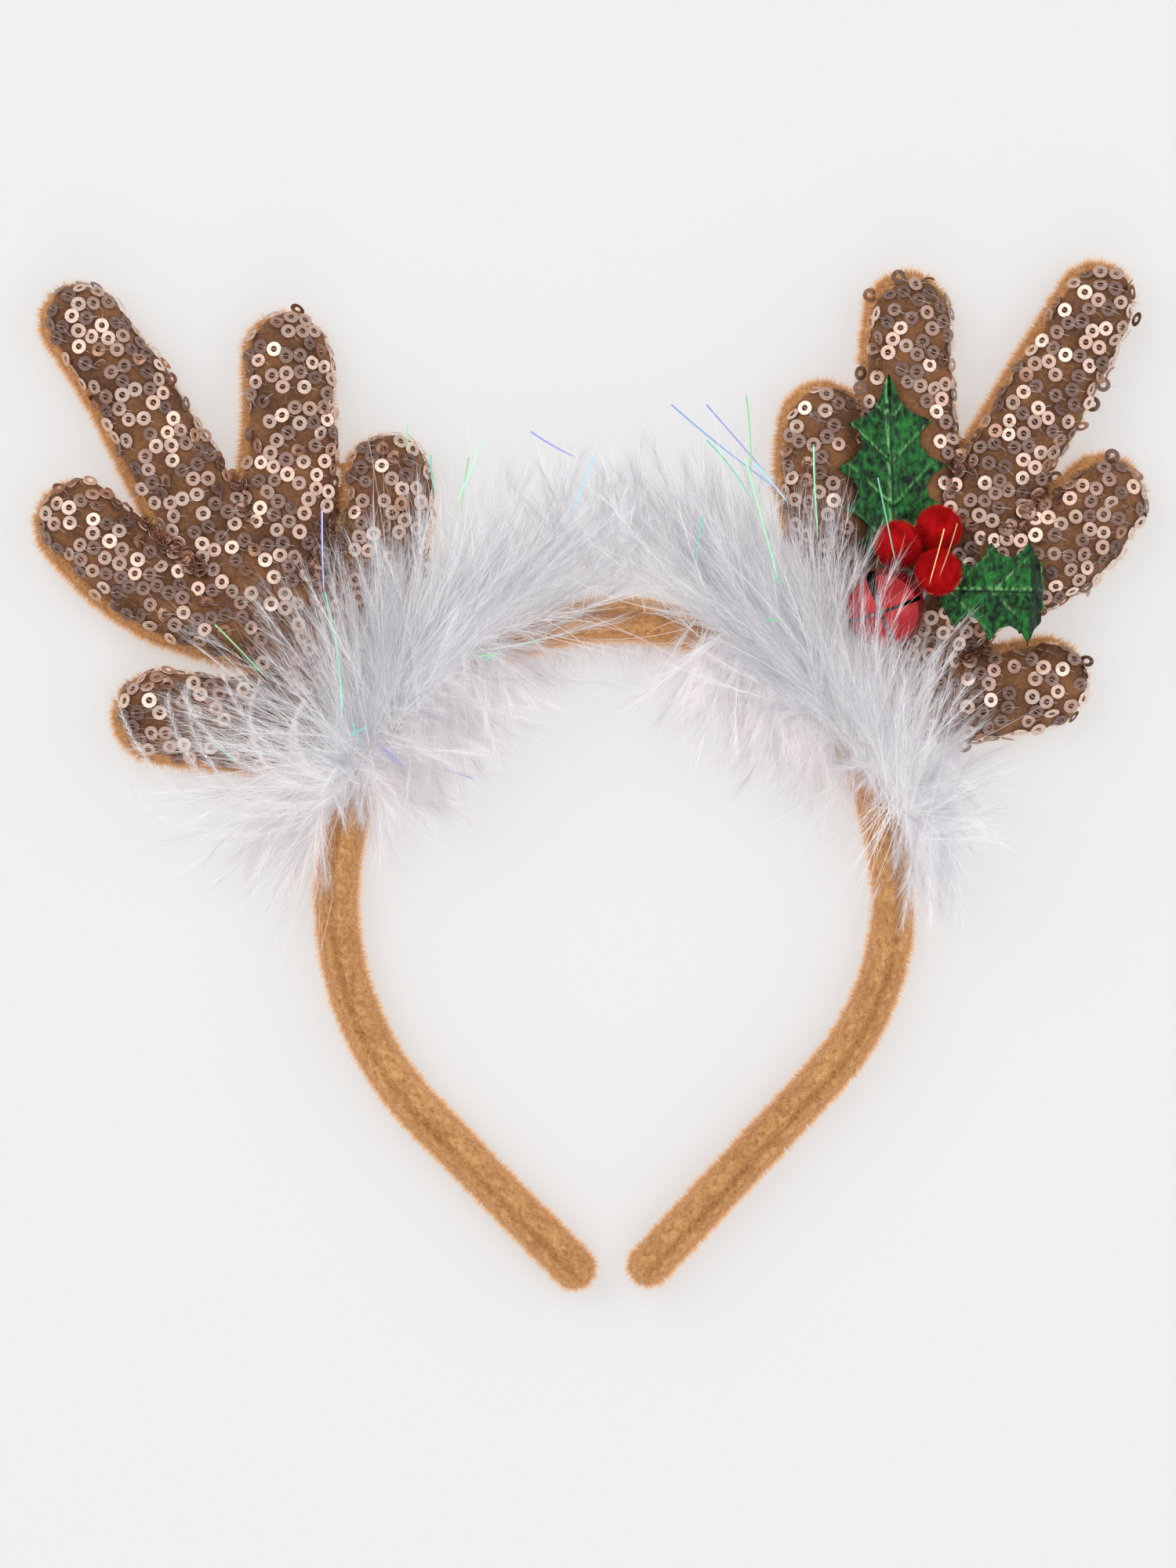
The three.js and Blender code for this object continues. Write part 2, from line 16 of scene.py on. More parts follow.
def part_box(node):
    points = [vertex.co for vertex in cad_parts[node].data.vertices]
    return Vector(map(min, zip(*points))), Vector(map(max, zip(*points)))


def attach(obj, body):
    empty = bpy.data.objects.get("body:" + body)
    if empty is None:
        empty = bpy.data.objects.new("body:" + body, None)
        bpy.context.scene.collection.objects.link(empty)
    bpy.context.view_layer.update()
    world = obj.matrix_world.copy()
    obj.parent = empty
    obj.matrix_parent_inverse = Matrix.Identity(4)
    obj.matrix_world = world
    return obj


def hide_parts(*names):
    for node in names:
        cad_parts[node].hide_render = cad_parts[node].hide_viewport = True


LOG = logging.getLogger("headband")
MM = 0.001
SPRIG = ("holly_leaf_upright", "holly_leaf_folded", "berry_lower", "berry_left", "berry_top", "jingle_bell")
Number = Union[int, float]
Triple = tuple[float, float, float]
Colour = Triple
BLACK: Colour = (0.0, 0.0, 0.0)
WHITE: Colour = (1.0, 1.0, 1.0)
UP = np.array([0.0, 0.0, 1.0])


# Shader maths

class Wire:
    """One value that runs through a material's nodes, with arithmetic."""

    def __init__(self, recipe: "Recipe", socket: bpy.types.NodeSocket) -> None:
        """Wraps a socket.

        Args:
            recipe: The recipe that the socket's node belongs to.
            socket: The output socket.
        """
        self.recipe = recipe
        self.socket = socket

    def _sum(self, operation: str, first: "Wire | Number", second: "Wire | Number") -> "Wire":
        """Adds one Math node.

        Args:
            operation: The Math node's operation.
            first: Its first value.
            second: Its second value.

        Returns:
            The node's result.
        """
        return self.recipe.node("ShaderNodeMath", {"operation": operation}, {0: first, 1: second})

    def __add__(self, other: "Wire | Number") -> "Wire":
        """Adds a value."""
        return self._sum("ADD", self, other)

    __radd__ = __add__

    def __sub__(self, other: "Wire | Number") -> "Wire":
        """Takes a value away."""
        return self._sum("SUBTRACT", self, other)

    def __rsub__(self, other: Number) -> "Wire":
        """Is taken away from a number."""
        return self._sum("SUBTRACT", other, self)

    def __mul__(self, other: "Wire | Number") -> "Wire":
        """Multiplies by a value."""
        return self._sum("MULTIPLY", self, other)

    __rmul__ = __mul__

    def at_most(self, other: "Wire | Number") -> "Wire":
        """Keeps the smaller of two values."""
        return self._sum("MINIMUM", self, other)

    def eased(self, low: float, high: float) -> "Wire":
        """Maps a stretch of values smoothly to 0 to 1.

        Args:
            low: The value that becomes 0.
            high: The value that becomes 1.

        Returns:
            The eased value.
        """
        settings = {"interpolation_type": "SMOOTHSTEP"}
        return self.recipe.node("ShaderNodeMapRange", settings, {0: self, 1: low, 2: high})


class Recipe:
    """The node tree of one material, built up value by value."""

    def __init__(self, name: str) -> None:
        """Starts an empty material.

        Args:
            name: The material's name.
        """
        self.material = bpy.data.materials.new(name)
        self.material.use_nodes = True
        self.tree = self.material.node_tree
        self.tree.nodes.clear()

    def _plug(self, socket: bpy.types.NodeSocket, value: object) -> None:
        """Sets a socket to a number or colour, or links a wire to it.

        Args:
            socket: The input socket.
            value: What goes into it.
        """
        if isinstance(value, Wire):
            self.tree.links.new(value.socket, socket)
        elif isinstance(value, tuple) and len(value) == 3 and socket.type == "RGBA":
            socket.default_value = (*value, 1.0)
        else:
            socket.default_value = value

    def node(self, kind: str, settings: dict[str, object] | None = None,
             sockets: dict[Union[int, str], object] | None = None, output: Union[int, str] = 0) -> Wire:
        """Adds one node.

        Args:
            kind: The node's type.
            settings: Its properties, or a ramp's stops under "stops", set first.
            sockets: Values or wires for its inputs, by index or name.
            output: Which output to return.

        Returns:
            The chosen output.
        """
        made = self.tree.nodes.new(kind)
        for key, value in (settings or {}).items():
            if key == "stops":
                self._ramp(made.color_ramp, value)
            else:
                setattr(made, key, value)
        for key, value in (sockets or {}).items():
            self._plug(made.inputs[key], value)
        return Wire(self, made.outputs[output])

    @staticmethod
    def _ramp(ramp: bpy.types.ColorRamp, stops: list[tuple[float, Colour]]) -> None:
        """Fills a colour ramp.

        Args:
            ramp: The ramp.
            stops: Places from 0 to 1 with their colours.
        """
        while len(ramp.elements) < len(stops):
            ramp.elements.new(1.0)
        for element, (place, colour) in zip(ramp.elements, stops):
            element.position = place
            element.color = (*colour, 1.0)

    def place(self, scale: float = 1.0, stretch: Triple = (1.0, 1.0, 1.0)) -> Wire:
        """Gives the point on the object, in metres times a scale.

        Args:
            scale: How many pattern units a metre has.
            stretch: Extra scale along X, Y and Z.

        Returns:
            The point as a vector.
        """
        point = self.node("ShaderNodeTexCoord", output="Object")
        factors = tuple(scale * value for value in stretch)
        return self.node("ShaderNodeVectorMath", {"operation": "MULTIPLY"}, {0: point, 1: factors})

    def noise(self, size: float, detail: float = 2.0, stretch: Triple = (1.0, 1.0, 1.0)) -> Wire:
        """Gives soft noise from 0 to 1.

        Args:
            size: The size of its blotches in metres.
            detail: How many finer layers it has.
            stretch: Extra scale along X, Y and Z.

        Returns:
            The noise value.
        """
        sockets = {"Vector": self.place(1.0 / size, stretch), "Scale": 1.0, "Detail": detail}
        return self.node("ShaderNodeTexNoise", None, sockets)

    def value_of(self, name: str) -> Wire:
        """Reads a value stored on the mesh's corners.

        Args:
            name: The value's name.

        Returns:
            The value.
        """
        return self.node("ShaderNodeAttribute", {"attribute_name": name}, output="Fac")

    def blend(self, share: "Wire | Number", first: "Wire | Colour", second: "Wire | Colour",
              mode: str = "MIX") -> Wire:
        """Mixes two colours.

        Args:
            share: How much of the second there is.
            first: The first colour.
            second: The second colour.
            mode: The way of mixing.

        Returns:
            The mixed colour.
        """
        settings = {"data_type": "RGBA", "blend_type": mode, "clamp_factor": True}
        return self.node("ShaderNodeMix", settings, {0: share, 6: first, 7: second}, output=2)

    def ramp(self, value: Wire, stops: list[tuple[float, Colour]]) -> Wire:
        """Turns a value into a colour by stops."""
        return self.node("ShaderNodeValToRGB", {"stops": stops}, {0: value})

    def bump(self, height: Wire, distance: float, strength: float = 1.0) -> Wire:
        """Gives a normal with relief.

        Args:
            height: The relief from 0 to 1.
            distance: How deep it is in metres.
            strength: How strongly it shows.

        Returns:
            The normal.
        """
        sockets = {"Height": height, "Distance": distance, "Strength": strength}
        return self.node("ShaderNodeBump", None, sockets)

    def principled(self, **sockets: object) -> Wire:
        """Adds the main shader, with sockets given by name and blanks as underscores."""
        named = {key.replace("_", " "): value for key, value in sockets.items()}
        return self.node("ShaderNodeBsdfPrincipled", None, named)

    def let_through(self, body: Wire, colour: Colour, share: float) -> Wire:
        """Lets some light pass through a thin hair.

        Args:
            body: The hair's own shader.
            colour: The colour of the light that passes.
            share: How much of it passes.

        Returns:
            The mixed shader.
        """
        through = self.node("ShaderNodeBsdfTranslucent", None, {"Color": colour})
        return self.node("ShaderNodeMixShader", None, {0: share, 1: body, 2: through})

    def finish(self, surface: Wire) -> bpy.types.Material:
        """Ends the recipe with its surface.

        Args:
            surface: The shader.

        Returns:
            The finished material.
        """
        output = self.tree.nodes.new("ShaderNodeOutputMaterial")
        self.tree.links.new(surface.socket, output.inputs["Surface"])
        return self.material


# Finishes

@dataclass(frozen=True)
class PileFinish:
    """Short plush pile: darker at the roots, paler at the tips, with a soft sheen and painted glow at its
    edges.
    """

    name: str = "plush_pile"
    root: Colour = (0.56, 0.25, 0.07)
    tip: Colour = (0.99, 0.64, 0.28)
    hollow: Colour = (0.6, 0.53, 0.45)
    # glow and glow_strength: a painted rim light, an emission on hairs that face sideways
    glow: Colour = (1.0, 0.74, 0.46)
    sheen: Colour = (1.0, 0.86, 0.7)
    passed: Colour = (0.78, 0.43, 0.16)
    passed_share: float = 0.3
    glow_strength: float = 0.4
    blotch: float = 0.007

    def make(self) -> bpy.types.Material:
        """Builds the material.

        Returns:
            The material.
        """
        mix = Recipe(self.name)
        along = mix.value_of("along").eased(0.0, 1.0)
        # The shade value carries painted light on hairs that face sideways as well as random tufts; low
        # values darken the hairs
        shade = mix.value_of("shade") * 0.7 + mix.noise(self.blotch, 3.0) * 0.3
        colour = mix.blend(along, self.root, self.tip)
        colour = mix.blend(0.75, colour, mix.ramp(shade, [(0.1, self.hollow), (0.7, WHITE)]), "MULTIPLY")
        # Painted light: hairs that face sideways glow, most at their tips, standing in for light caught at
        # the plush's edges
        lit = mix.blend(mix.value_of("rim") * (along * 0.6 + 0.4), BLACK, self.glow)
        body = mix.principled(Base_Color=colour, Roughness=0.85, Sheen_Weight=0.5, Sheen_Roughness=0.5,
                              Sheen_Tint=self.sheen, Emission_Color=lit, Emission_Strength=self.glow_strength)
        return mix.finish(mix.let_through(body, self.passed, self.passed_share))


@dataclass(frozen=True)
class PlushFinish:
    """The plush ground under the pile, with its close nap."""

    name: str = "plush_ground"
    dark: Colour = (0.5, 0.23, 0.075)
    light: Colour = (0.82, 0.46, 0.18)
    sheen: Colour = (1.0, 0.85, 0.68)
    nap: float = 0.0009
    nap_depth: float = 0.0006
    sway: float = 0.006

    def make(self) -> bpy.types.Material:
        """Builds the material.

        Returns:
            The material.
        """
        mix = Recipe(self.name)
        nap = mix.noise(self.nap, 3.0)
        sway = mix.noise(self.sway, 2.0)
        colour = mix.blend((nap * 0.6 + sway * 0.5).eased(0.3, 0.8), self.dark, self.light)
        normal = mix.bump(nap, self.nap_depth, 0.8)
        return mix.finish(mix.principled(Base_Color=colour, Roughness=0.92, Normal=normal, Sheen_Weight=0.5,
                                         Sheen_Roughness=0.5, Sheen_Tint=self.sheen))


@dataclass(frozen=True)
class SequinClothFinish:
    """Brown brushed cloth under the sequins, with painted shade darkening its folds."""

    name: str = "sequin_cloth"
    dark: Colour = (0.098, 0.034, 0.012)
    light: Colour = (0.33, 0.138, 0.047)
    crease_shade: Colour = (0.042, 0.012, 0.005)
    sheen: Colour = (1.0, 0.75, 0.55)
    nap: float = 0.0007
    patch: float = 0.009
    relief: float = 0.0009

    def make(self) -> bpy.types.Material:
        """Builds the material.

        Returns:
            The material.
        """
        mix = Recipe(self.name)
        nap = mix.noise(self.nap, 3.0)
        patch = mix.noise(self.patch, 3.0)
        tone = (nap * 0.45 + patch * 0.6).eased(0.3, 0.78)
        colour = mix.blend(tone, self.dark, self.light)
        # Painted shade: the cloth darkens with how deep in a fold it lies
        colour = mix.blend(mix.value_of("fold").eased(0.0, 0.75) * 0.85, colour, self.crease_shade)
        normal = mix.bump(nap * 0.6 + patch * 0.8, self.relief, 0.8)
        return mix.finish(mix.principled(Base_Color=colour, Roughness=0.8, Normal=normal, Sheen_Weight=0.4,
                                         Sheen_Roughness=0.45, Sheen_Tint=self.sheen))


@dataclass(frozen=True)
class SequinFinish:
    """Thin pale coppery film rings, dull among bright, partly painted reflection, with painted shade in
    creases.
    """

    name: str = "sequin_film"
    dull: Colour = (0.2, 0.118, 0.098)
    brown: Colour = (0.3, 0.188, 0.157)
    rose: Colour = (0.66, 0.44, 0.345)
    pale: Colour = (0.96, 0.74, 0.62)
    crease_shade_copper: Colour = (0.32, 0.12, 0.055)
    wave: float = 0.0012
    wave_depth: float = 0.00012

    def make(self) -> bpy.types.Material:
        """Builds the material.

        Returns:
            The material.
        """
        mix = Recipe(self.name)
        shade = mix.value_of("shade")
        # Each ring's random shade picks its colour from dull to pale, partly a painted reflection of the
        # lamps
        colour = mix.ramp(shade, [(0.0, self.dull), (0.42, self.brown), (0.55, self.rose), (1.0, self.pale)])
        # Painted shade: rings crushed into creases turn dark coppery; a few random strays do too
        colour = mix.blend(mix.value_of("crush"), colour, self.crease_shade_copper)
        normal = mix.bump(mix.noise(self.wave, 2.0), self.wave_depth, 0.5)
        return mix.finish(mix.principled(Base_Color=colour, Metallic=0.72, Roughness=0.42 - shade * 0.2,
                                         Normal=normal, Coat_Weight=0.12, Coat_Roughness=0.12))


@dataclass(frozen=True)
class ThreadFinish:
    """Fine clear sewing thread."""

    name: str = "clear_thread"
    dark: Colour = (0.42, 0.34, 0.28)
    light: Colour = (0.88, 0.84, 0.8)

    def make(self) -> bpy.types.Material:
        """Builds the material.

        Returns:
            The material.
        """
        mix = Recipe(self.name)
        colour = mix.ramp(mix.value_of("shade"), [(0.0, self.dark), (1.0, self.light)])
        return mix.finish(mix.principled(Base_Color=colour, Roughness=0.2, Specular_IOR_Level=0.6))


@dataclass(frozen=True)
class DownFinish:
    """White marabou down, cool at the tips and warmer where it lies low, a painted light from the tan band.
    """

    name: str = "marabou_down"
    cool: Colour = (0.92, 0.915, 0.926)
    warm: Colour = (0.965, 0.905, 0.91)
    shaded: Colour = (0.55, 0.54, 0.575)
    faint: Colour = (0.06, 0.06, 0.062)
    lit: Colour = (1.0, 0.98, 0.98)
    passed: Colour = (0.8, 0.79, 0.812)
    passed_share: float = 0.38
    glow_strength: float = 0.36

    def make(self) -> bpy.types.Material:
        """Builds the material.

        Returns:
            The material.
        """
        mix = Recipe(self.name)
        shade = mix.value_of("shade")
        # Painted light: a warm tint stands in for light from the tan band coming through the down
        colour = mix.blend(mix.value_of("warmth"), self.cool, self.warm)
        colour = mix.blend(0.85, colour, mix.ramp(shade, [(0.0, self.shaded), (0.72, WHITE)]), "MULTIPLY")
        # Painted glow: an emission lifts the shade in the down, most on the brightest strands and where glow
        # is set
        bright = mix.blend(shade.eased(0.55, 1.0), self.faint, WHITE)
        bright = mix.blend(mix.value_of("glow"), bright, self.lit)
        body = mix.principled(Base_Color=colour, Roughness=0.7, Emission_Color=bright,
                              Emission_Strength=self.glow_strength)
        return mix.finish(mix.let_through(body, self.passed, self.passed_share))


@dataclass(frozen=True)
class TinselFinish:
    """Iridescent film strands that run from violet through blue and teal to green, with a faint painted glow.
    """

    name: str = "tinsel_film"
    violet: Colour = (0.45, 0.28, 0.85)
    blue: Colour = (0.35, 0.55, 0.95)
    teal: Colour = (0.25, 0.8, 0.75)
    green: Colour = (0.3, 0.85, 0.45)
    gold: Colour = (0.8, 0.52, 0.2)
    shimmer: float = 0.008

    def make(self) -> bpy.types.Material:
        """Builds the material.

        Returns:
            The material.
        """
        mix = Recipe(self.name)
        hue = (mix.value_of("shade") * 0.9 + mix.noise(self.shimmer, 1.0) * 0.2).at_most(1.0)
        colour = mix.ramp(hue, [(0.0, self.violet), (0.28, self.blue), (0.5, self.teal), (0.75, self.green),
                                (0.98, self.gold)])
        # Painted glow: each strand gives off a little light in its own colour
        return mix.finish(mix.principled(Base_Color=colour, Metallic=0.65, Roughness=0.22, Coat_Weight=0.6,
                                         Emission_Color=colour, Emission_Strength=0.2))


@dataclass(frozen=True)
class FoilLeafFinish:
    """Dark green embossed foil, mottled, with painted highlights on ridges beside dark veins and a little
    glitter.
    """

    name: str = "foil_leaf"
    dark: Colour = (0.0005, 0.006, 0.002)
    mid: Colour = (0.006, 0.075, 0.012)
    light: Colour = (0.02, 0.24, 0.03)
    gleam: Colour = (0.3, 0.74, 0.26)
    glitter: Colour = (0.1, 0.7, 0.4)
    mottle: float = 0.0013
    patch: float = 0.006
    streak: float = 0.0011
    fleck: float = 0.0008
    relief: float = 0.0009

    def make(self) -> bpy.types.Material:
        """Builds the material.

        Returns:
            The material.
        """
        mix = Recipe(self.name)
        mottle = mix.noise(self.mottle, 3.0, (1.3, 0.8, 1.0))
        patch = mix.noise(self.patch, 2.0)
        tone = mottle * 0.8 + patch * 0.35
        colour = mix.ramp(tone, [(0.44, self.dark), (0.56, self.mid), (0.78, self.light)])
        streak = mix.noise(self.streak, 2.0, (1.6, 0.5, 1.0)).eased(0.4, 0.62)
        # Painted highlight: bright green in streaks along the raised strips beside the veins and at the
        # rolled edge
        colour = mix.blend(mix.value_of("ridge") * streak * 0.8, colour, self.gleam)
        colour = mix.blend(mix.value_of("vein") * 0.85, colour, self.dark)
        colour = mix.blend(mix.value_of("shadow"), colour, self.dark)
        fleck = mix.node("ShaderNodeTexVoronoi", None, {"Vector": mix.place(1.0 / self.fleck), "Scale": 1.0})
        glint = 1.0 - fleck.eased(0.04, 0.16)
        colour = mix.blend(glint * patch.eased(0.45, 0.6) * 0.45, colour, self.glitter)
        normal = mix.bump(mottle * 0.7 + patch * 0.9, self.relief)
        return mix.finish(mix.principled(Base_Color=colour, Metallic=0.3, Roughness=0.3, Normal=normal,
                                         Specular_IOR_Level=0.3, Coat_Weight=0.15, Coat_Roughness=0.06))


@dataclass(frozen=True)
class FeltFinish:
    """Saturated red felt and its clipped fuzz."""

    name: str = "berry_felt"
    deep: Colour = (0.36, 0.001, 0.002)
    bright: Colour = (0.85, 0.006, 0.01)
    sheen: Colour = (1.0, 0.15, 0.12)
    nap: float = 0.0006
    nap_depth: float = 0.0003

    def make(self) -> bpy.types.Material:
        """Builds the material.

        Returns:
            The material.
        """
        mix = Recipe(self.name)
        nap = mix.noise(self.nap, 3.0)
        tone = mix.value_of("along") * 0.6 + nap * 0.5
        colour = mix.blend(tone.eased(0.15, 0.9), self.deep, self.bright)
        normal = mix.bump(nap, self.nap_depth, 0.6)
        return mix.finish(mix.principled(Base_Color=colour, Roughness=0.9, Normal=normal, Sheen_Weight=0.12,
                                         Sheen_Roughness=0.4, Sheen_Tint=self.sheen,
                                         Specular_IOR_Level=0.2))


@dataclass(frozen=True)
class LacquerFinish:
    """Glossy coral-red lacquer on thin sheet metal, worn slightly uneven, with painted shade low down and
    inside.
    """

    name: str = "bell_lacquer"
    deep: Colour = (0.2, 0.002, 0.006)
    coral: Colour = (0.54, 0.01, 0.016)
    inner: Colour = (0.012, 0.001, 0.001)
    cloud: float = 0.004
    wear: float = 0.0015
    dent: float = 0.002
    dent_depth: float = 0.0002

    def make(self) -> bpy.types.Material:
        """Builds the material.

        Returns:
            The material.
        """
        mix = Recipe(self.name)
        cloud = mix.noise(self.cloud, 3.0)
        # Painted shade: the bell is coral on top and deep red lower down
        front = mix.value_of("front").eased(0.5, 0.6)
        colour = mix.blend(front * 0.75 + cloud.eased(0.25, 0.75) * 0.25, self.deep, self.coral)
        inside = mix.value_of("inside")
        # Painted shade: the inside of the shell is near black
        colour = mix.blend(inside, colour, self.inner)
        rough = 0.2 + mix.noise(self.wear, 3.0) * 0.18 + inside * 0.6
        normal = mix.bump(mix.noise(self.dent, 2.0), self.dent_depth, 0.5)
        return mix.finish(mix.principled(Base_Color=colour, Metallic=0.4, Roughness=rough, Normal=normal,
                                         Coat_Weight=0.3 - inside * 0.3, Coat_Roughness=0.12))


@dataclass(frozen=True)
class SteelFinish:
    """Dull grey steel of the loose pellet."""

    name: str = "pellet_steel"
    dark: Colour = (0.08, 0.08, 0.085)
    light: Colour = (0.16, 0.16, 0.165)
    cloud: float = 0.001

    def make(self) -> bpy.types.Material:
        """Builds the material.

        Returns:
            The material.
        """
        mix = Recipe(self.name)
        cloud = mix.noise(self.cloud, 3.0)
        colour = mix.blend(cloud, self.dark, self.light)
        return mix.finish(mix.principled(Base_Color=colour, Metallic=1.0, Roughness=0.3 + cloud * 0.3))


@dataclass(frozen=True)
class TableFinish:
    """The plain pale surface under the headband."""

    name: str = "pale_table"
    light: Colour = (0.42, 0.42, 0.42)
    dark: Colour = (0.38, 0.38, 0.38)
    cloud: float = 0.4
    glow: float = 0.46

    def make(self) -> bpy.types.Material:
        """Builds the material.

        Returns:
            The material.
        """
        mix = Recipe(self.name)
        soft = mix.blend(mix.noise(self.cloud, 1.0) * 0.04, self.light, self.dark)
        return mix.finish(mix.principled(Base_Color=soft, Roughness=0.9, Specular_IOR_Level=0.1,
                                         Emission_Color=WHITE, Emission_Strength=self.glow))


# Meshes

@dataclass
class Patch:
    """Corners, faces and corner values of one mesh in the making."""

    corners: np.ndarray
    quads: np.ndarray = field(default_factory=lambda: np.zeros((0, 4), int))
    triangles: np.ndarray = field(default_factory=lambda: np.zeros((0, 3), int))
    values: dict[str, np.ndarray] = field(default_factory=dict)

    def count(self) -> int:
        """Says how many triangles the mesh has."""
        return 2 * len(self.quads) + len(self.triangles)

    def made(self, name: str, smooth: bool = True) -> bpy.types.Object:
        """Turns the patch into an object at the origin.

        Args:
            name: The object's name.
            smooth: Whether its faces are shaded smooth.

        Returns:
            The object.
        """
        mesh = bpy.data.meshes.new(name)
        mesh.vertices.add(len(self.corners))
        mesh.vertices.foreach_set("co", self.corners.astype(np.float32).ravel())
        loops = np.concatenate([self.quads.ravel(), self.triangles.ravel()]).astype(np.int32)
        sizes = np.concatenate([np.full(len(self.quads), 4), np.full(len(self.triangles), 3)])
        starts = np.concatenate([[0], np.cumsum(sizes)[:-1]]) if len(sizes) else sizes
        mesh.loops.add(len(loops))
        mesh.loops.foreach_set("vertex_index", loops)
        mesh.polygons.add(len(sizes))
        mesh.polygons.foreach_set("loop_start", starts.astype(np.int32))
        mesh.polygons.foreach_set("use_smooth", np.full(len(sizes), smooth))
        for key, numbers in self.values.items():
            layer = mesh.attributes.new(key, "FLOAT", "POINT")
            layer.data.foreach_set("value", numbers.astype(np.float32))
        mesh.update(calc_edges=True)
        piece = bpy.data.objects.new(name, mesh)
        bpy.context.scene.collection.objects.link(piece)
        return piece


def joined(patches: list[Patch]) -> Patch:
    """Puts several patches into one.

    Args:
        patches: The patches, with the same values on each.

    Returns:
        The one patch.
    """
    starts = np.cumsum([0] + [len(patch.corners) for patch in patches])[:-1]
    return Patch(
        np.vstack([patch.corners for patch in patches]),
        np.vstack([patch.quads + start for patch, start in zip(patches, starts)]),
        np.vstack([patch.triangles + start for patch, start in zip(patches, starts)]),
        {key: np.concatenate([patch.values[key] for patch in patches]) for key in patches[0].values},
    )


def unit(vectors: np.ndarray) -> np.ndarray:
    """Scales each vector of an array to length 1."""
    return vectors / np.maximum(np.linalg.norm(vectors, axis=-1, keepdims=True), 1e-12)


def ribbons(spines: np.ndarray, widths: np.ndarray, across: np.ndarray,
            values: dict[str, np.ndarray]) -> Patch:
    """Makes flat pointed strands.

    Args:
        spines: The points of each strand from root to tip, as strands by points by 3.
        widths: The width of each strand at each point; the last one is the tip and isn't used.
        across: The direction of each strand's width, as strands by 3.
        values: A number for each strand, by name.

    Returns:
        The strands, each with its values and "along", which is 0 at the root and 1 at the tip.
    """
    count, points = spines.shape[:2]
    half = across[:, None, :] * widths[:, :-1, None] / 2
    pairs = np.stack([spines[:, :-1] - half, spines[:, :-1] + half], axis=2).reshape(count, -1, 3)
    corners = np.concatenate([pairs, spines[:, -1:]], axis=1)
    size = corners.shape[1]
    first = (np.arange(count) * size)[:, None]
    steps = 2 * np.arange(points - 2)
    quads = (first[:, :, None] + steps[None, :, None] + np.array([0, 1, 3, 2])).reshape(-1, 4)
    triangles = first + np.array([size - 3, size - 2, size - 1])
    along = np.concatenate([np.repeat(np.arange(points - 1), 2), [points - 1]]) / (points - 1)
    spread = {key: np.repeat(numbers, size) for key, numbers in values.items()}
    return Patch(corners.reshape(-1, 3), quads, triangles, {**spread, "along": np.tile(along, count)})


def dress(piece: bpy.types.Object, material: bpy.types.Material, node: str) -> None:
    """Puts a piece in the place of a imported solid, with its material.

    Args:
        piece: The piece.
        material: Its material.
        node: The solid's node.
    """
    piece.data.materials.clear()
    piece.data.materials.append(material)
    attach(piece, "root")
    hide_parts(node)


def circle(sides: int) -> np.ndarray:
    """Gives evenly spaced points round a circle of radius 1, as pairs."""
    angle = np.linspace(0, 2 * np.pi, sides, endpoint=False)
    return np.stack([np.cos(angle), np.sin(angle)], -1)


def pointing(heading: np.ndarray, lift: np.ndarray) -> np.ndarray:
    """Gives unit directions by their heading from +X and their lift above the table, in radians."""
    return np.stack([np.cos(heading) * np.cos(lift), np.sin(heading) * np.cos(lift), np.sin(lift)], -1)


def on_curve(start: np.ndarray, bend: np.ndarray, end: np.ndarray, share: np.ndarray) -> np.ndarray:
    """Gives points on curves that start and end at two points and bend towards a third.

    Args:
        start: Where each curve starts.
        bend: What it bends towards.
        end: Where it ends.
        share: How far along it each point lies, from 0 to 1.

    Returns:
        The points.
    """
    return (1 - share) ** 2 * start + 2 * share * (1 - share) * bend + share ** 2 * end


def closed_grid(rows: int, columns: int) -> np.ndarray:
    """Joins rows by columns of corners into quads, the last ones to the first both ways.

    Args:
        rows: How many rows.
        columns: How many corners in each row.

    Returns:
        The quads.
    """
    index = np.arange(rows * columns).reshape(rows, columns)
    down, beside = np.roll(index, -1, 0), np.roll(index, -1, 1)
    return np.stack([index, down, np.roll(down, -1, 1), beside], -1).reshape(-1, 4)


def square_to(vectors: np.ndarray, guide: np.ndarray) -> np.ndarray:
    """Gives directions square to some vectors, as near as may be to a guide.

    Args:
        vectors: The vectors.
        guide: The directions wanted.

    Returns:
        Unit directions square to the vectors.
    """
    ahead = unit(vectors)
    return unit(guide - (guide * ahead).sum(-1, keepdims=True) * ahead)


def ripple(points: np.ndarray, size: float, seed: int) -> np.ndarray:
    """Gives smooth hills and hollows between about -1 and 1.

    Args:
        points: Where, in metres.
        size: How far apart the hills are.
        seed: Which pattern it is.

    Returns:
        A height for each point.
    """
    waves, usual_top = 7, 3.2
    dice = np.random.default_rng(seed)
    total = np.zeros(points.shape[:-1])
    for _ in range(waves):
        wave = unit(dice.normal(size=3)) * 2 * math.pi / (size * dice.uniform(0.7, 1.5))
        total += np.sin(points @ wave + dice.uniform(0, 2 * math.pi))
    return total / usual_top


@dataclass(frozen=True)
class Relief:
    """Smooth hills and hollows, by their height and how far apart they are."""

    height: float
    size: float

    def at(self, points: np.ndarray, seed: int) -> np.ndarray:
        """Gives the height at each point, in the pattern that the seed names."""
        return self.height * ripple(points, self.size, seed)


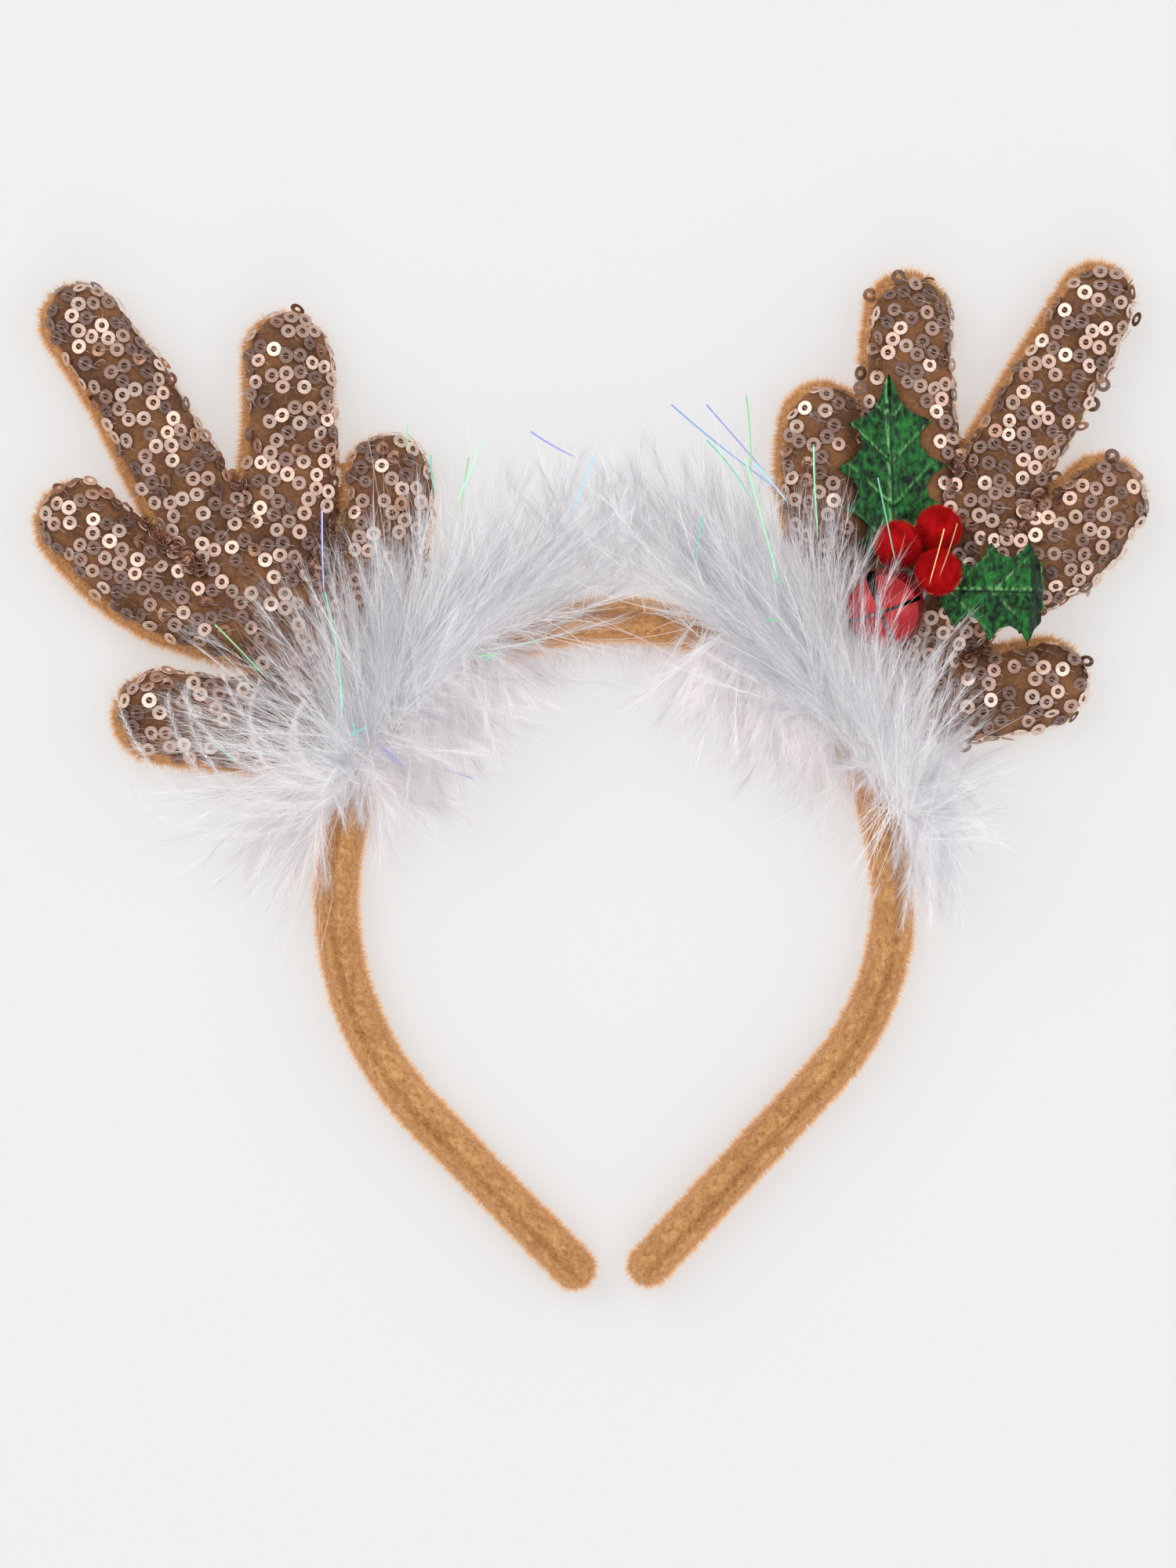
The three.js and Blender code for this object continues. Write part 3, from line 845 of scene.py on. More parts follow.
def tube(centres: np.ndarray, sides: np.ndarray, rises: np.ndarray, outline: np.ndarray,
         scales: np.ndarray) -> Patch:
    """Sweeps a closed outline along a line and closes both ends.

    Args:
        centres: The line's points.
        sides: The outline's first direction at each point.
        rises: Its second direction at each point.
        outline: The outline's points as pairs.
        scales: The outline's size at each point.

    Returns:
        The closed tube.
    """
    sized = outline[None] * scales[:, None, None]
    rings = centres[:, None] + sides[:, None] * sized[..., :1] + rises[:, None] * sized[..., 1:]
    rows, round_ = rings.shape[:2]
    index = np.arange(rows * round_).reshape(rows, round_)
    turned = np.roll(index, -1, axis=1)
    quads = np.stack([index[:-1], turned[:-1], turned[1:], index[1:]], -1).reshape(-1, 4)
    corners = np.vstack([rings.reshape(-1, 3), centres[:1], centres[-1:]])
    near, far = index.size, index.size + 1
    ends = [np.stack([turned[0], index[0], np.full(round_, near)], -1),
            np.stack([index[-1], turned[-1], np.full(round_, far)], -1)]
    return Patch(corners, quads, np.vstack(ends))


def crossed(corners: np.ndarray, quads: np.ndarray) -> np.ndarray:
    """Gives a vector square to each quad, twice as long as the quad's area."""
    first, second, third, fourth = (corners[quads[:, column]] for column in range(4))
    return np.cross(third - first, fourth - second)


def corner_normals(corners: np.ndarray, quads: np.ndarray) -> np.ndarray:
    """Works out a normal for each corner of a mesh of quads.

    Args:
        corners: The corners.
        quads: The faces.

    Returns:
        Unit normals.
    """
    flat = crossed(corners, quads)
    total = np.zeros_like(corners)
    for column in range(4):
        np.add.at(total, quads[:, column], flat)
    return unit(total)


def scattered(corners: np.ndarray, quads: np.ndarray, normals: np.ndarray, count: int,
              dice: np.random.Generator, weights: np.ndarray | None = None) -> tuple[np.ndarray, np.ndarray]:
    """Picks random places on a mesh of quads.

    Args:
        corners: The corners.
        quads: The faces.
        normals: The corners' normals.
        count: How many places.
        dice: The source of chance.
        weights: How much likelier each face is than its area says.

    Returns:
        The places and their normals.
    """
    area = np.linalg.norm(crossed(corners, quads), axis=1)
    area = area * (1.0 if weights is None else weights)
    face = quads[dice.choice(len(quads), count, p=area / area.sum())]
    u, v = dice.random((2, count, 1))
    shares = [(1 - u) * (1 - v), u * (1 - v), u * v, (1 - u) * v]
    places = sum(share * corners[face[:, i]] for i, share in enumerate(shares))
    return places, unit(sum(share * normals[face[:, i]] for i, share in enumerate(shares)))


@dataclass(frozen=True)
class Nap:
    """How short hairs stand: their size, how far apart their tufts are, how far those lean, and the comb."""

    length: float
    width: float
    tuft: float
    lean: float
    comb: Triple = (0.0, 0.0, 0.0)
    sunk: float = 0.15 * MM
    floor: float = 0.1 * MM
    unruly: float = 0.22
    lengths: tuple[float, float] = (0.5, 1.2)
    rim_calm: float = 0.7
    rim_growth: float = 0.3
    shade: float = 0.36
    # A painted highlight: how much lighter the hairs that face sideways are made
    rim_painted_light: float = 0.3
    tuft_shade: float = 0.24
    hair_shade: float = 0.26


def pile(places: np.ndarray, normals: np.ndarray, nap: Nap, dice: np.random.Generator) -> Patch:
    """Stands short hairs on a surface, each one narrow triangle, leaning together in tufts.

    Args:
        places: Where each hair stands.
        normals: The surface's normals there.
        nap: How the hairs stand.
        dice: The source of chance.

    Returns:
        The hairs, none of them below the table.
    """
    count = len(places)
    rim = np.clip(1 - np.abs(normals[:, 2]), 0, 1)
    together = nap.lean * np.stack([ripple(places, nap.tuft, seed) for seed in (5, 6, 7)], -1)
    together *= 1 - nap.rim_calm * rim[:, None]
    aim = unit(normals + np.array(nap.comb) + together + dice.normal(0, nap.unruly, (count, 3)))
    tall = nap.length * dice.uniform(*nap.lengths, (count, 1))
    tall *= 1 + nap.rim_growth * rim[:, None] * dice.random((count, 1))
    root = places - normals * nap.sunk
    tip = root + aim * tall
    tip[:, 2] = np.maximum(tip[:, 2], nap.floor)
    across = square_to(aim, dice.normal(size=(count, 3)))
    tufts = ripple(places, 0.8 * nap.tuft, 8)
    # Painted light: hairs that face sideways get a lighter shade; tufts and single hairs vary at random
    shade = nap.shade + nap.rim_painted_light * rim + nap.tuft_shade * tufts + dice.normal(0, nap.hair_shade, count)
    values = {"shade": np.clip(shade, 0, 1), "rim": rim}
    return ribbons(np.stack([root, tip], axis=1), np.full((count, 2), nap.width), across, values)


# The band

def crown_centre() -> np.ndarray:
    """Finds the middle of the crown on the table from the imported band.

    Returns:
        The point.
    """
    low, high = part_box("band")
    outer = PlushBand.crown_radius + PlushBand.thickness / 2
    return np.array([low.x + outer, high.y - outer, 0.0])


def around(turn: np.ndarray | float, out: np.ndarray | float, height: np.ndarray | float) -> np.ndarray:
    """Gives points at a turn in degrees and a distance from the middle of the crown.

    Args:
        turn: The turn from +X.
        out: The distance.
        height: The height above the table.

    Returns:
        The points.
    """
    angle = np.radians(turn)
    x, y, z = np.broadcast_arrays(out * np.cos(angle), out * np.sin(angle), height)
    return np.stack([x, y, z], -1) + crown_centre()


@dataclass(frozen=True)
class Leg:
    """How one leg of the band bends in and runs out."""

    bend_radius: float
    bend_turn: float
    tail: float


@dataclass
class PlushBand:
    """The sprung strip in its plush sleeve, stitched along its front."""

    crown_radius: float = 60.3 * MM
    thickness: float = 9.0 * MM
    depth: float = 13.0 * MM
    rest: float = 0.9 * MM
    floor: float = 0.15 * MM
    left: Leg = Leg(67.5 * MM, 44.4, 46 * MM)
    right: Leg = Leg(57.5 * MM, 43.0, 55 * MM)
    squareness: float = 0.86
    groove_turn: float = 75.0
    groove_width: float = 0.16
    groove_depth: float = 0.3
    unevenness: Relief = Relief(0.018, 20 * MM)
    nap: Nap = Nap(1.7 * MM, 0.16 * MM, 2.2 * MM, 1.15, (0.0, -0.3, 0.0))
    pile_count: int = 82000
    fill: float = 0.8
    rows: int = 330
    sides: int = 36
    leg_points: int = 60
    crown_points: int = 240
    cap_rings: int = 9
    seed: int = 11

    def half_width(self) -> float:
        """Gives half the sleeve's thickness, without the pile that stands on it."""
        return self.thickness / 2 - 0.2 * self.nap.length

    def line(self) -> tuple[np.ndarray, np.ndarray]:
        """Lays out the centreline from the left tip over the crown to the right tip.

        Returns:
            Evenly spaced points, and the direction at each.
        """
        def leg(shape: Leg, sign: int) -> np.ndarray:
            """Gives the bend and the tail of one leg, from the crown down.

            Args:
                shape: How the leg bends.
                sign: 1 for the right leg, -1 for the left one.

            Returns:
                Its points as pairs.
            """
            bend = np.radians(np.linspace(0, shape.bend_turn, self.leg_points))
            x = sign * (self.crown_radius - shape.bend_radius * (1 - np.cos(bend)))
            y = -shape.bend_radius * np.sin(bend)
            tail = shape.tail * np.array([sign * math.sin(bend[-1]), math.cos(bend[-1])])
            return np.vstack([np.stack([x, y], -1), [x[-1], y[-1]] - tail])
        arc = np.radians(np.linspace(180, 0, self.crown_points))
        crown = self.crown_radius * np.stack([np.cos(arc), np.sin(arc)], -1)
        whole = np.vstack([leg(self.left, -1)[::-1][:-1], crown[1:-1], leg(self.right, 1)])
        run = np.concatenate([[0], np.cumsum(np.linalg.norm(np.diff(whole, axis=0), axis=1))])
        even = np.linspace(0, run[-1], self.rows)
        flat = np.stack([np.interp(even, run, whole[:, i]) for i in range(2)], -1)
        points = np.column_stack([flat, np.full(self.rows, self.depth / 2 - self.rest)]) + crown_centre()
        return points, unit(np.gradient(points, axis=0))

    def outline(self) -> np.ndarray:
        """Draws the sleeve's section: a soft oblong with the stitched groove in its front.

        Returns:
            Its points as pairs across and up.
        """
        angle = np.linspace(0, 2 * np.pi, self.sides, endpoint=False)
        half = [self.half_width(), self.depth / 2 - 0.4 * self.nap.length]
        ring = circle(self.sides)
        ring = np.sign(ring) * np.abs(ring) ** self.squareness * half
        groove = np.exp(-((angle - math.radians(self.groove_turn)) / self.groove_width) ** 2)
        return ring * (1 - self.groove_depth * groove[:, None])

    def body(self) -> Patch:
        """Sweeps the sleeve along the centreline, rounded at its tips.

        Returns:
            The closed body.
        """
        points, ahead = self.line()
        cap = np.radians(np.linspace(88, 8, self.cap_rings))
        reach = (self.half_width() * np.sin(cap))[:, None]
        centres = np.vstack([points[0] - ahead[0] * reach, points, (points[-1] + ahead[-1] * reach)[::-1]])
        ends = [np.repeat(ahead[place][None], self.cap_rings, 0) for place in (0, -1)]
        run = np.vstack([ends[0], ahead, ends[1]])
        scales = np.concatenate([np.cos(cap), np.ones(len(points)), np.cos(cap)[::-1]])
        scales = scales * (1 + self.unevenness.at(centres, 3))
        rises = np.tile(UP, (len(centres), 1))
        body = tube(centres, np.cross(rises, run), rises, self.outline(), scales)
        body.corners[:, 2] = np.maximum(body.corners[:, 2], self.floor)
        return body

    def build(self, ground: bpy.types.Material, fur: bpy.types.Material) -> int:
        """Builds the sleeve and its pile in place of the band's plain solid.

        Args:
            ground: The plush ground's material.
            fur: The pile's material.

        Returns:
            How many triangles it took.
        """
        dice = np.random.default_rng(self.seed)
        body = self.body()
        normals = corner_normals(body.corners, body.quads)
        hairs = pile(*scattered(body.corners, body.quads, normals, self.pile_count, dice), self.nap, dice)
        sleeve = body.made("band_sleeve")
        dress(sleeve, ground, "band")
        dress(hairs.made("band_pile", smooth=False), fur, "band")
        return body.count() + hairs.count()


# The antlers

class Side(Enum):
    """Which antler it is, as the camera sees it."""

    LEFT = "left"
    RIGHT = "right"


# A sequin's section, as radius and height, and a stitch across it, as reach and rise, in millimetres
RING_SECTION = ((0.66, -0.05), (0.71, 0.06), (1.58, 0.06), (1.66, -0.05))
STITCH = ((0.0, -0.25), (0.9, 0.2), (1.8, 0.1), (2.6, -0.6))


@dataclass(frozen=True)
class Sewing:
    """How ring sequins are sewn on: how close, how crushed, how tilted, and by what thread."""

    gap: float = 2.96 * MM
    gaps: tuple[float, float] = (0.98, 1.12)
    tries: int = 20000
    count: int = 580
    sides: int = 14
    sizes: tuple[float, float] = (0.95, 1.04)
    crushed_count: int = 76
    deep: float = 0.3
    crush_gain: float = 2.2
    crush_loss: float = 0.2
    crush_spread: float = 0.12
    crush_shown: float = 0.85
    stray_share: float = 0.07
    stray_crush: float = 0.8
    tilt: float = 0.12
    loose_share: float = 0.12
    loose_tilt: float = 1.6
    crushed_tilt: float = 0.55
    standing: int = 6
    standing_tilt: float = 0.35
    standing_shade: float = 0.2
    edge_facing: float = 0.45
    lift: float = 0.3
    lift_spread: float = 0.5
    crushed_lift: float = 0.6
    standing_lift: float = 1.0
    shades: tuple[float, float] = (1.6, 1.45)
    bow: float = 0.1
    crushed_bow: float = 0.75
    thread_width: float = 0.08 * MM
    thread_way: Triple = (1.0, -0.3, 0.0)
    thread_stray: float = 0.35
    thread_reach: tuple[float, float] = (1.25, 0.75)


@dataclass
class StuffedAntler:
    """One antler: sequin cloth in front, plush behind, joined by a seam and stuffed."""

    side: Side
    back_shows: tuple[float, float]
    seed: int
    voxel: float = 1.05 * MM
    face_sunk: float = 0.8 * MM
    back_raised: float = 0.3 * MM
    floor: float = 0.12 * MM
    smoothings: int = 6
    shrink: float = 0.55
    swell: float = 0.57
    broad_smoothings: int = 34
    fold_from: float = 0.25 * MM
    fold_full: float = 1.5 * MM
    upper_full: float = 2.5 * MM
    seam_rise: tuple[float, float] = (1.9 * MM, 2.2 * MM)
    seam_depth: float = 0.75 * MM
    seam_width: float = 1.0 * MM
    fold_depth: float = 0.9 * MM
    pucker: Relief = Relief(0.42 * MM, 4.6 * MM)
    pucker_height: float = 2.2 * MM
    pucker_reach: float = 2.4 * MM
    lumps: Relief = Relief(0.5 * MM, 13 * MM)
    dents: Relief = Relief(0.2 * MM, 5 * MM)
    nap: Nap = Nap(1.9 * MM, 0.14 * MM, 2.4 * MM, 0.5, (0.0, -0.15, 0.25))
    pile_count: int = 30000
    fill: float = 0.7
    sewing: Sewing = Sewing()

    def stuffed(self) -> tuple[np.ndarray, np.ndarray]:
        """Joins the two packed halves into one soft body.

        Returns:
            Its corners and its quads.
        """
        mesh = bmesh.new()
        for half in ("face", "back"):
            node = f"antler_{self.side.value}_{half}"
            before = len(mesh.verts)
            mesh.from_mesh(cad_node(node).data)
            mesh.verts.ensure_lookup_table()
            low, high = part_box(node)
            seam, shift = (low.z, -self.face_sunk) if half == "face" else (high.z, self.back_raised)
            for corner in mesh.verts[before:]:
                if math.isclose(corner.co.z, seam, abs_tol=0.02 * MM):
                    corner.co.z += shift
        rough = bpy.data.meshes.new("antler_rough")
        mesh.to_mesh(rough)
        mesh.free()
        form = bpy.data.objects.new("antler_rough", rough)
        bpy.context.scene.collection.objects.link(form)
        wrap = form.modifiers.new("wrap", "REMESH")
        wrap.mode = "VOXEL"
        wrap.voxel_size = self.voxel
        wrapped = form.evaluated_get(bpy.context.evaluated_depsgraph_get()).to_mesh()
        corners = np.empty(3 * len(wrapped.vertices))
        wrapped.vertices.foreach_get("co", corners)
        quads = np.array([tuple(face.vertices) for face in wrapped.polygons if len(face.vertices) == 4])
        bpy.data.objects.remove(form)
        bpy.data.meshes.remove(rough)
        return corners.reshape(-1, 3), quads

    def softened(self, corners: np.ndarray, quads: np.ndarray) -> tuple[np.ndarray, np.ndarray]:
        """Evens out the wrapped form and puckers it along its seam.

        Args:
            corners: The corners.
            quads: The faces.

        Returns:
            The softened corners, and how deep in a fold each lies from 0 to 1.
        """
        edges = np.vstack([quads[:, [0, 1]], quads[:, [1, 2]], quads[:, [2, 3]], quads[:, [3, 0]]])
        edges = np.vstack([edges, edges[:, ::-1]])
        share = np.bincount(edges[:, 0], minlength=len(corners))[:, None]

        def mean(values: np.ndarray) -> np.ndarray:
            """Averages each corner's neighbours."""
            return np.stack([np.bincount(edges[:, 0], values[edges[:, 1], i], len(corners))
                             for i in range(values.shape[1])], -1) / share
        for _ in range(self.smoothings):
            corners = corners + self.shrink * (mean(corners) - corners)
            corners = corners - self.swell * (mean(corners) - corners)
        wide = corners
        for _ in range(self.broad_smoothings):
            wide = mean(wide)
        normals = corner_normals(corners, quads)
        hollow = ((wide - corners) * normals).sum(-1)
        fold = np.clip((hollow - self.fold_from) / self.fold_full, 0, 1)
        above = corners[:, 2] - self.seam_height(normals)
        near = np.exp(-(above / self.seam_width) ** 2)
        upper = np.clip(above / self.upper_full, 0, 1)
        puckered = np.exp(-((above - self.pucker_height) / self.pucker_reach) ** 2)
        shift = puckered * self.pucker.at(corners * [1, 1, 0.15], self.seed)
        shift += upper * (self.lumps.at(corners, self.seed + 1) + self.dents.at(corners, self.seed + 2))
        shift -= self.seam_depth * near + self.fold_depth * fold
        corners = corners + normals * shift[:, None]
        corners[:, 2] = np.maximum(corners[:, 2], self.floor)
        return corners, fold

    def seam_height(self, normals: np.ndarray) -> np.ndarray:
        """Says how high the seam runs, further forward where the back rolls round the edge.

        Args:
            normals: The surface's normals.

        Returns:
            The seam's height for each.
        """
        low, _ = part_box(f"antler_{self.side.value}_face")
        lean = normals[:, :2] @ unit(np.array(self.back_shows))
        return low.z + np.where(lean > 0, *self.seam_rise) * lean

    def build(self, cloth: bpy.types.Material, ground: bpy.types.Material, fur: bpy.types.Material,
              film: bpy.types.Material, thread: bpy.types.Material) -> int:
        """Builds the antler in place of its two plain halves.

        Args:
            cloth: The front cloth's material.
            ground: The plush ground's material.
            fur: The pile's material.
            film: The sequins' material.
            thread: The sewing thread's material.

        Returns:
            How many triangles it took.
        """
        dice = np.random.default_rng(self.seed)
        corners, quads = self.stuffed()
        corners, fold = self.softened(corners, quads)
        normals = corner_normals(corners, quads)
        above = (corners[:, 2] - self.seam_height(normals))[quads].mean(1) > 0
        # The cloth reads the fold value to paint shade in the creases
        front = self.part_of(corners, quads[above], {"fold": fold})
        back = self.part_of(corners, quads[~above], {})
        hairs = self.back_pile(corners, quads[~above], normals, dice)
        rings, strands = self.sequins(corners, quads[above], normals, fold, dice)
        base = f"antler_{self.side.value}"
        dressed = [
            (front.made(f"{base}_cloth"), cloth, "sequin_cloth", "face"),
            (rings.made(f"{base}_sequins", smooth=False), film, "sequin_cloth", "face"),
            (strands.made(f"{base}_threads", smooth=False), thread, "sequin_cloth", "face"),
            (back.made(f"{base}_plush"), ground, "plush_tan", "back"),
            (hairs.made(f"{base}_pile", smooth=False), fur, "plush_tan", "back"),
        ]
        for piece, material, slot, half in dressed:
            dress(piece, material, f"{base}_{half}")
        return sum(patch.count() for patch in (front, back, hairs, rings, strands))

    @staticmethod
    def part_of(corners: np.ndarray, quads: np.ndarray, values: dict[str, np.ndarray]) -> Patch:
        """Cuts out some faces with the corners that they use.

        Args:
            corners: All corners.
            quads: The faces to keep.
            values: Values on all corners.

        Returns:
            The patch.
        """
        used, order = np.unique(quads.ravel(), return_inverse=True)
        kept = {key: numbers[used] for key, numbers in values.items()}
        return Patch(corners[used], order.reshape(-1, 4), values=kept)

    def back_pile(self, corners: np.ndarray, quads: np.ndarray, normals: np.ndarray,
                  dice: np.random.Generator) -> Patch:
        """Stands the plush pile on the back, thickest where it shows past the edge.

        Args:
            corners: The antler's corners.
            quads: The back's faces.
            normals: The corners' normals.
            dice: The source of chance.

        Returns:
            The hairs.
        """
        middle = normals[quads].mean(1)
        side_on = np.clip(1.2 + middle[:, 2], 0.15, 1.2)
        toward = np.clip(middle[:, :2] @ unit(np.array(self.back_shows)), 0, 1)
        weights = side_on * (0.5 + toward)
        return pile(*scattered(corners, quads, normals, self.pile_count, dice, weights), self.nap, dice)

    def sequins(self, corners: np.ndarray, quads: np.ndarray, normals: np.ndarray, fold: np.ndarray,
                dice: np.random.Generator) -> tuple[Patch, Patch]:
        """Sews the ring sequins on: flat rows, crushed ones in the creases, a few on edge at the seam.

        Args:
            corners: The antler's corners.
            quads: The front's faces.
            normals: The corners' normals.
            fold: How deep in a crease each corner lies.
            dice: The source of chance.

        Returns:
            The rings and the threads.
        """
        sewing = self.sewing
        tries, facing = scattered(corners, quads, normals, sewing.tries, dice)
        free = clear_of_sprig(tries, facing, sewing.gap)
        tries, facing = tries[free], facing[free]
        tree = KDTree(len(corners))
        for index, corner in enumerate(corners):
            tree.insert(corner, index)
        tree.balance()
        crease = fold[[tree.find(spot)[1] for spot in tries]]
        gap = sewing.gap * dice.uniform(*sewing.gaps, len(tries))
        chosen = [0]
        near = np.linalg.norm(tries - tries[0], axis=1)
        while len(chosen) < sewing.count and (near > gap).any():
            index = int(np.argmin(np.where(near > gap, near, 1.0)))
            chosen.append(index)
            near = np.minimum(near, np.linalg.norm(tries - tries[index], axis=1))
        deep = np.flatnonzero(crease > sewing.deep)
        chosen += list(dice.choice(deep, min(sewing.crushed_count, len(deep)), replace=False))
        places, facing, crease = tries[chosen], facing[chosen], crease[chosen]
        count = len(places)
        # How crushed each ring is, from its crease and a few random strays; it bends the ring and paints
        # crease shade on it
        crush = sewing.crush_gain * crease - sewing.crush_loss + dice.normal(0, sewing.crush_spread, count)
        crush = np.clip(crush, 0, 1)
        crush = np.where(dice.random(count) > 1 - sewing.stray_share, sewing.stray_crush, crush)
        tilt = dice.normal(0, sewing.tilt, (count, 3))
        tilt *= 1 + sewing.loose_tilt * (dice.random((count, 1)) > 1 - sewing.loose_share)
        axes = unit(facing + tilt + crush[:, None] * dice.normal(0, sewing.crushed_tilt, (count, 3)))
        edge = facing[:, 2] < sewing.edge_facing
        some = edge & (dice.random(count) < sewing.standing / max(edge.sum(), 1))
        axes[some] = unit(UP + dice.normal(0, sewing.standing_tilt, (some.sum(), 3)))
        lift = sewing.lift + sewing.lift_spread * dice.random((count, 1))
        lift = (lift + sewing.crushed_lift * crush[:, None] + sewing.standing_lift * some[:, None]) * MM
        middles = places + facing * lift
        shade = np.clip(dice.beta(*sewing.shades, count), 0, 1)
        # Rings standing on edge are made duller, a painted shade
        shade[some] *= sewing.standing_shade
        rings = self.rings(middles, axes, {"shade": shade, "crush": sewing.crush_shown * crush}, dice)
        return rings, self.threads(middles, axes, dice)

    def rings(self, middles: np.ndarray, axes: np.ndarray, values: dict[str, np.ndarray],
              dice: np.random.Generator) -> Patch:
        """Makes thin flat rings, bent where they are crushed.

        Args:
            middles: Their middles.
            axes: The directions that they face.
            values: How pale and how crushed each is.
            dice: The source of chance.

        Returns:
            The rings.
        """
        count, sides, points = len(middles), self.sewing.sides, len(RING_SECTION)
        right = square_to(axes, dice.normal(size=(count, 3)))
        up = np.cross(axes, right)
        turn = circle(sides)
        size = dice.uniform(*self.sewing.sizes, count)
        radius, height = np.array(RING_SECTION).T * MM
        depth = (self.sewing.bow + self.sewing.crushed_bow * values["crush"]) * MM
        bow = (turn[:, 0] ** 2 - turn[:, 1] ** 2) * (dice.uniform(-1, 1, count) * depth)[:, None]
        outward = turn[None, :, :1] * right[:, None] + turn[None, :, 1:] * up[:, None]
        rise = height + bow[:, :, None] * (radius / radius[-1]) ** 2
        corners = middles[:, None, None] + outward[:, :, None] * (radius * size[:, None, None])[..., None]
        corners = corners + axes[:, None, None] * rise[..., None]
        each = sides * points
        quads = (closed_grid(sides, points) + (np.arange(count) * each)[:, None, None]).reshape(-1, 4)
        spread = {key: np.repeat(numbers, each) for key, numbers in values.items()}
        return Patch(corners.reshape(-1, 3), quads, values=spread)

    def threads(self, middles: np.ndarray, axes: np.ndarray, dice: np.random.Generator) -> Patch:
        """Lays the thread across each ring: a long stitch on to the next one and a short one back.

        Args:
            middles: The rings' middles.
            axes: The directions that they face.
            dice: The source of chance.

        Returns:
            The threads.
        """
        twice = np.repeat(np.arange(len(middles)), 2)
        middle, axis = middles[twice], axes[twice]
        way = np.array(self.sewing.thread_way) + dice.normal(0, self.sewing.thread_stray, (len(twice), 3))
        way *= np.tile([1.0, -1.0], len(middles))[:, None]
        aim = square_to(axis, way)
        reach, rise = np.array(STITCH).T * MM
        reach = reach * np.tile(self.sewing.thread_reach, len(middles))[:, None]
        spines = middle[:, None] + aim[:, None] * reach[..., None] + axis[:, None] * rise[None, :, None]
        widths = np.full(reach.shape, self.sewing.thread_width)
        return ribbons(spines, widths, np.cross(aim, axis), {"shade": dice.random(len(twice))})


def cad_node(name: str) -> bpy.types.Object:
    """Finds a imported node's object."""
    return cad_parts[name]


def clear_of_sprig(places: np.ndarray, normals: np.ndarray, gap: float) -> np.ndarray:
    """Finds the places on an antler that no leaf, berry or bell lies over.

    Args:
        places: The places.
        normals: The surface's normals there.
        gap: The room that a place needs.

    Returns:
        True for each place that is free.
    """
    free = np.ones(len(places), bool)
    for name in SPRIG:
        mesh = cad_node(name).data
        tree = BVHTree.FromPolygons([corner.co for corner in mesh.vertices],
                                    [tuple(face.vertices) for face in mesh.polygons])
        for index in np.flatnonzero(free):
            spot = Vector(places[index] + normals[index] * 0.5 * gap)
            free[index] = tree.find_nearest(spot, 0.75 * gap)[0] is None
    return free


# The feather trim

def tones(shade: np.ndarray, glow: np.ndarray | float, warmth: np.ndarray | float) -> dict[str, np.ndarray]:
    """Gives each strand its shade, its painted glow and its painted light from the tan band, by name."""
    return dict(zip(("shade", "glow", "warmth"), np.broadcast_arrays(shade, glow, warmth)))


@dataclass(frozen=True)
class Bunch:
    """Plumes that lie much the same way, with lengths in millimetres and turns in degrees."""

    name: str
    turns: tuple[float, float]
    headings: tuple[float, float]
    fan: float
    length: float
    lift: float
    curl: float
    plumes: int
    barbs: int
    barb: float
    beside: float
    height: float
    # How much painted warm light from the tan band the down gets
    warmth: float
    fine: bool = True
    # glow: a painted glow, an emission on the down
    glow: float = 0.0


@dataclass(frozen=True)
class Loose:
    """Single long strands that leave one stretch of the crown, in degrees and millimetres."""

    count: int
    turns: tuple[float, float]
    headings: tuple[float, float]
    lengths: tuple[float, float]
    lift: float
    height: float
    width: float = 0.13
    bend: float = 0.16
    hidden: float = 0.0


@dataclass(frozen=True)
class Curl:
    """One long plume that sweeps round in an arc."""

    turn: float
    heading: float
    sweep: float
    length: float
    height: float
    barb: float


@dataclass(frozen=True)
class Glint:
    """One iridescent strand, by its ends from the middle of the crown and its height in millimetres."""

    start: tuple[float, float]
    end: tuple[float, float]
    height: float
    hue: float


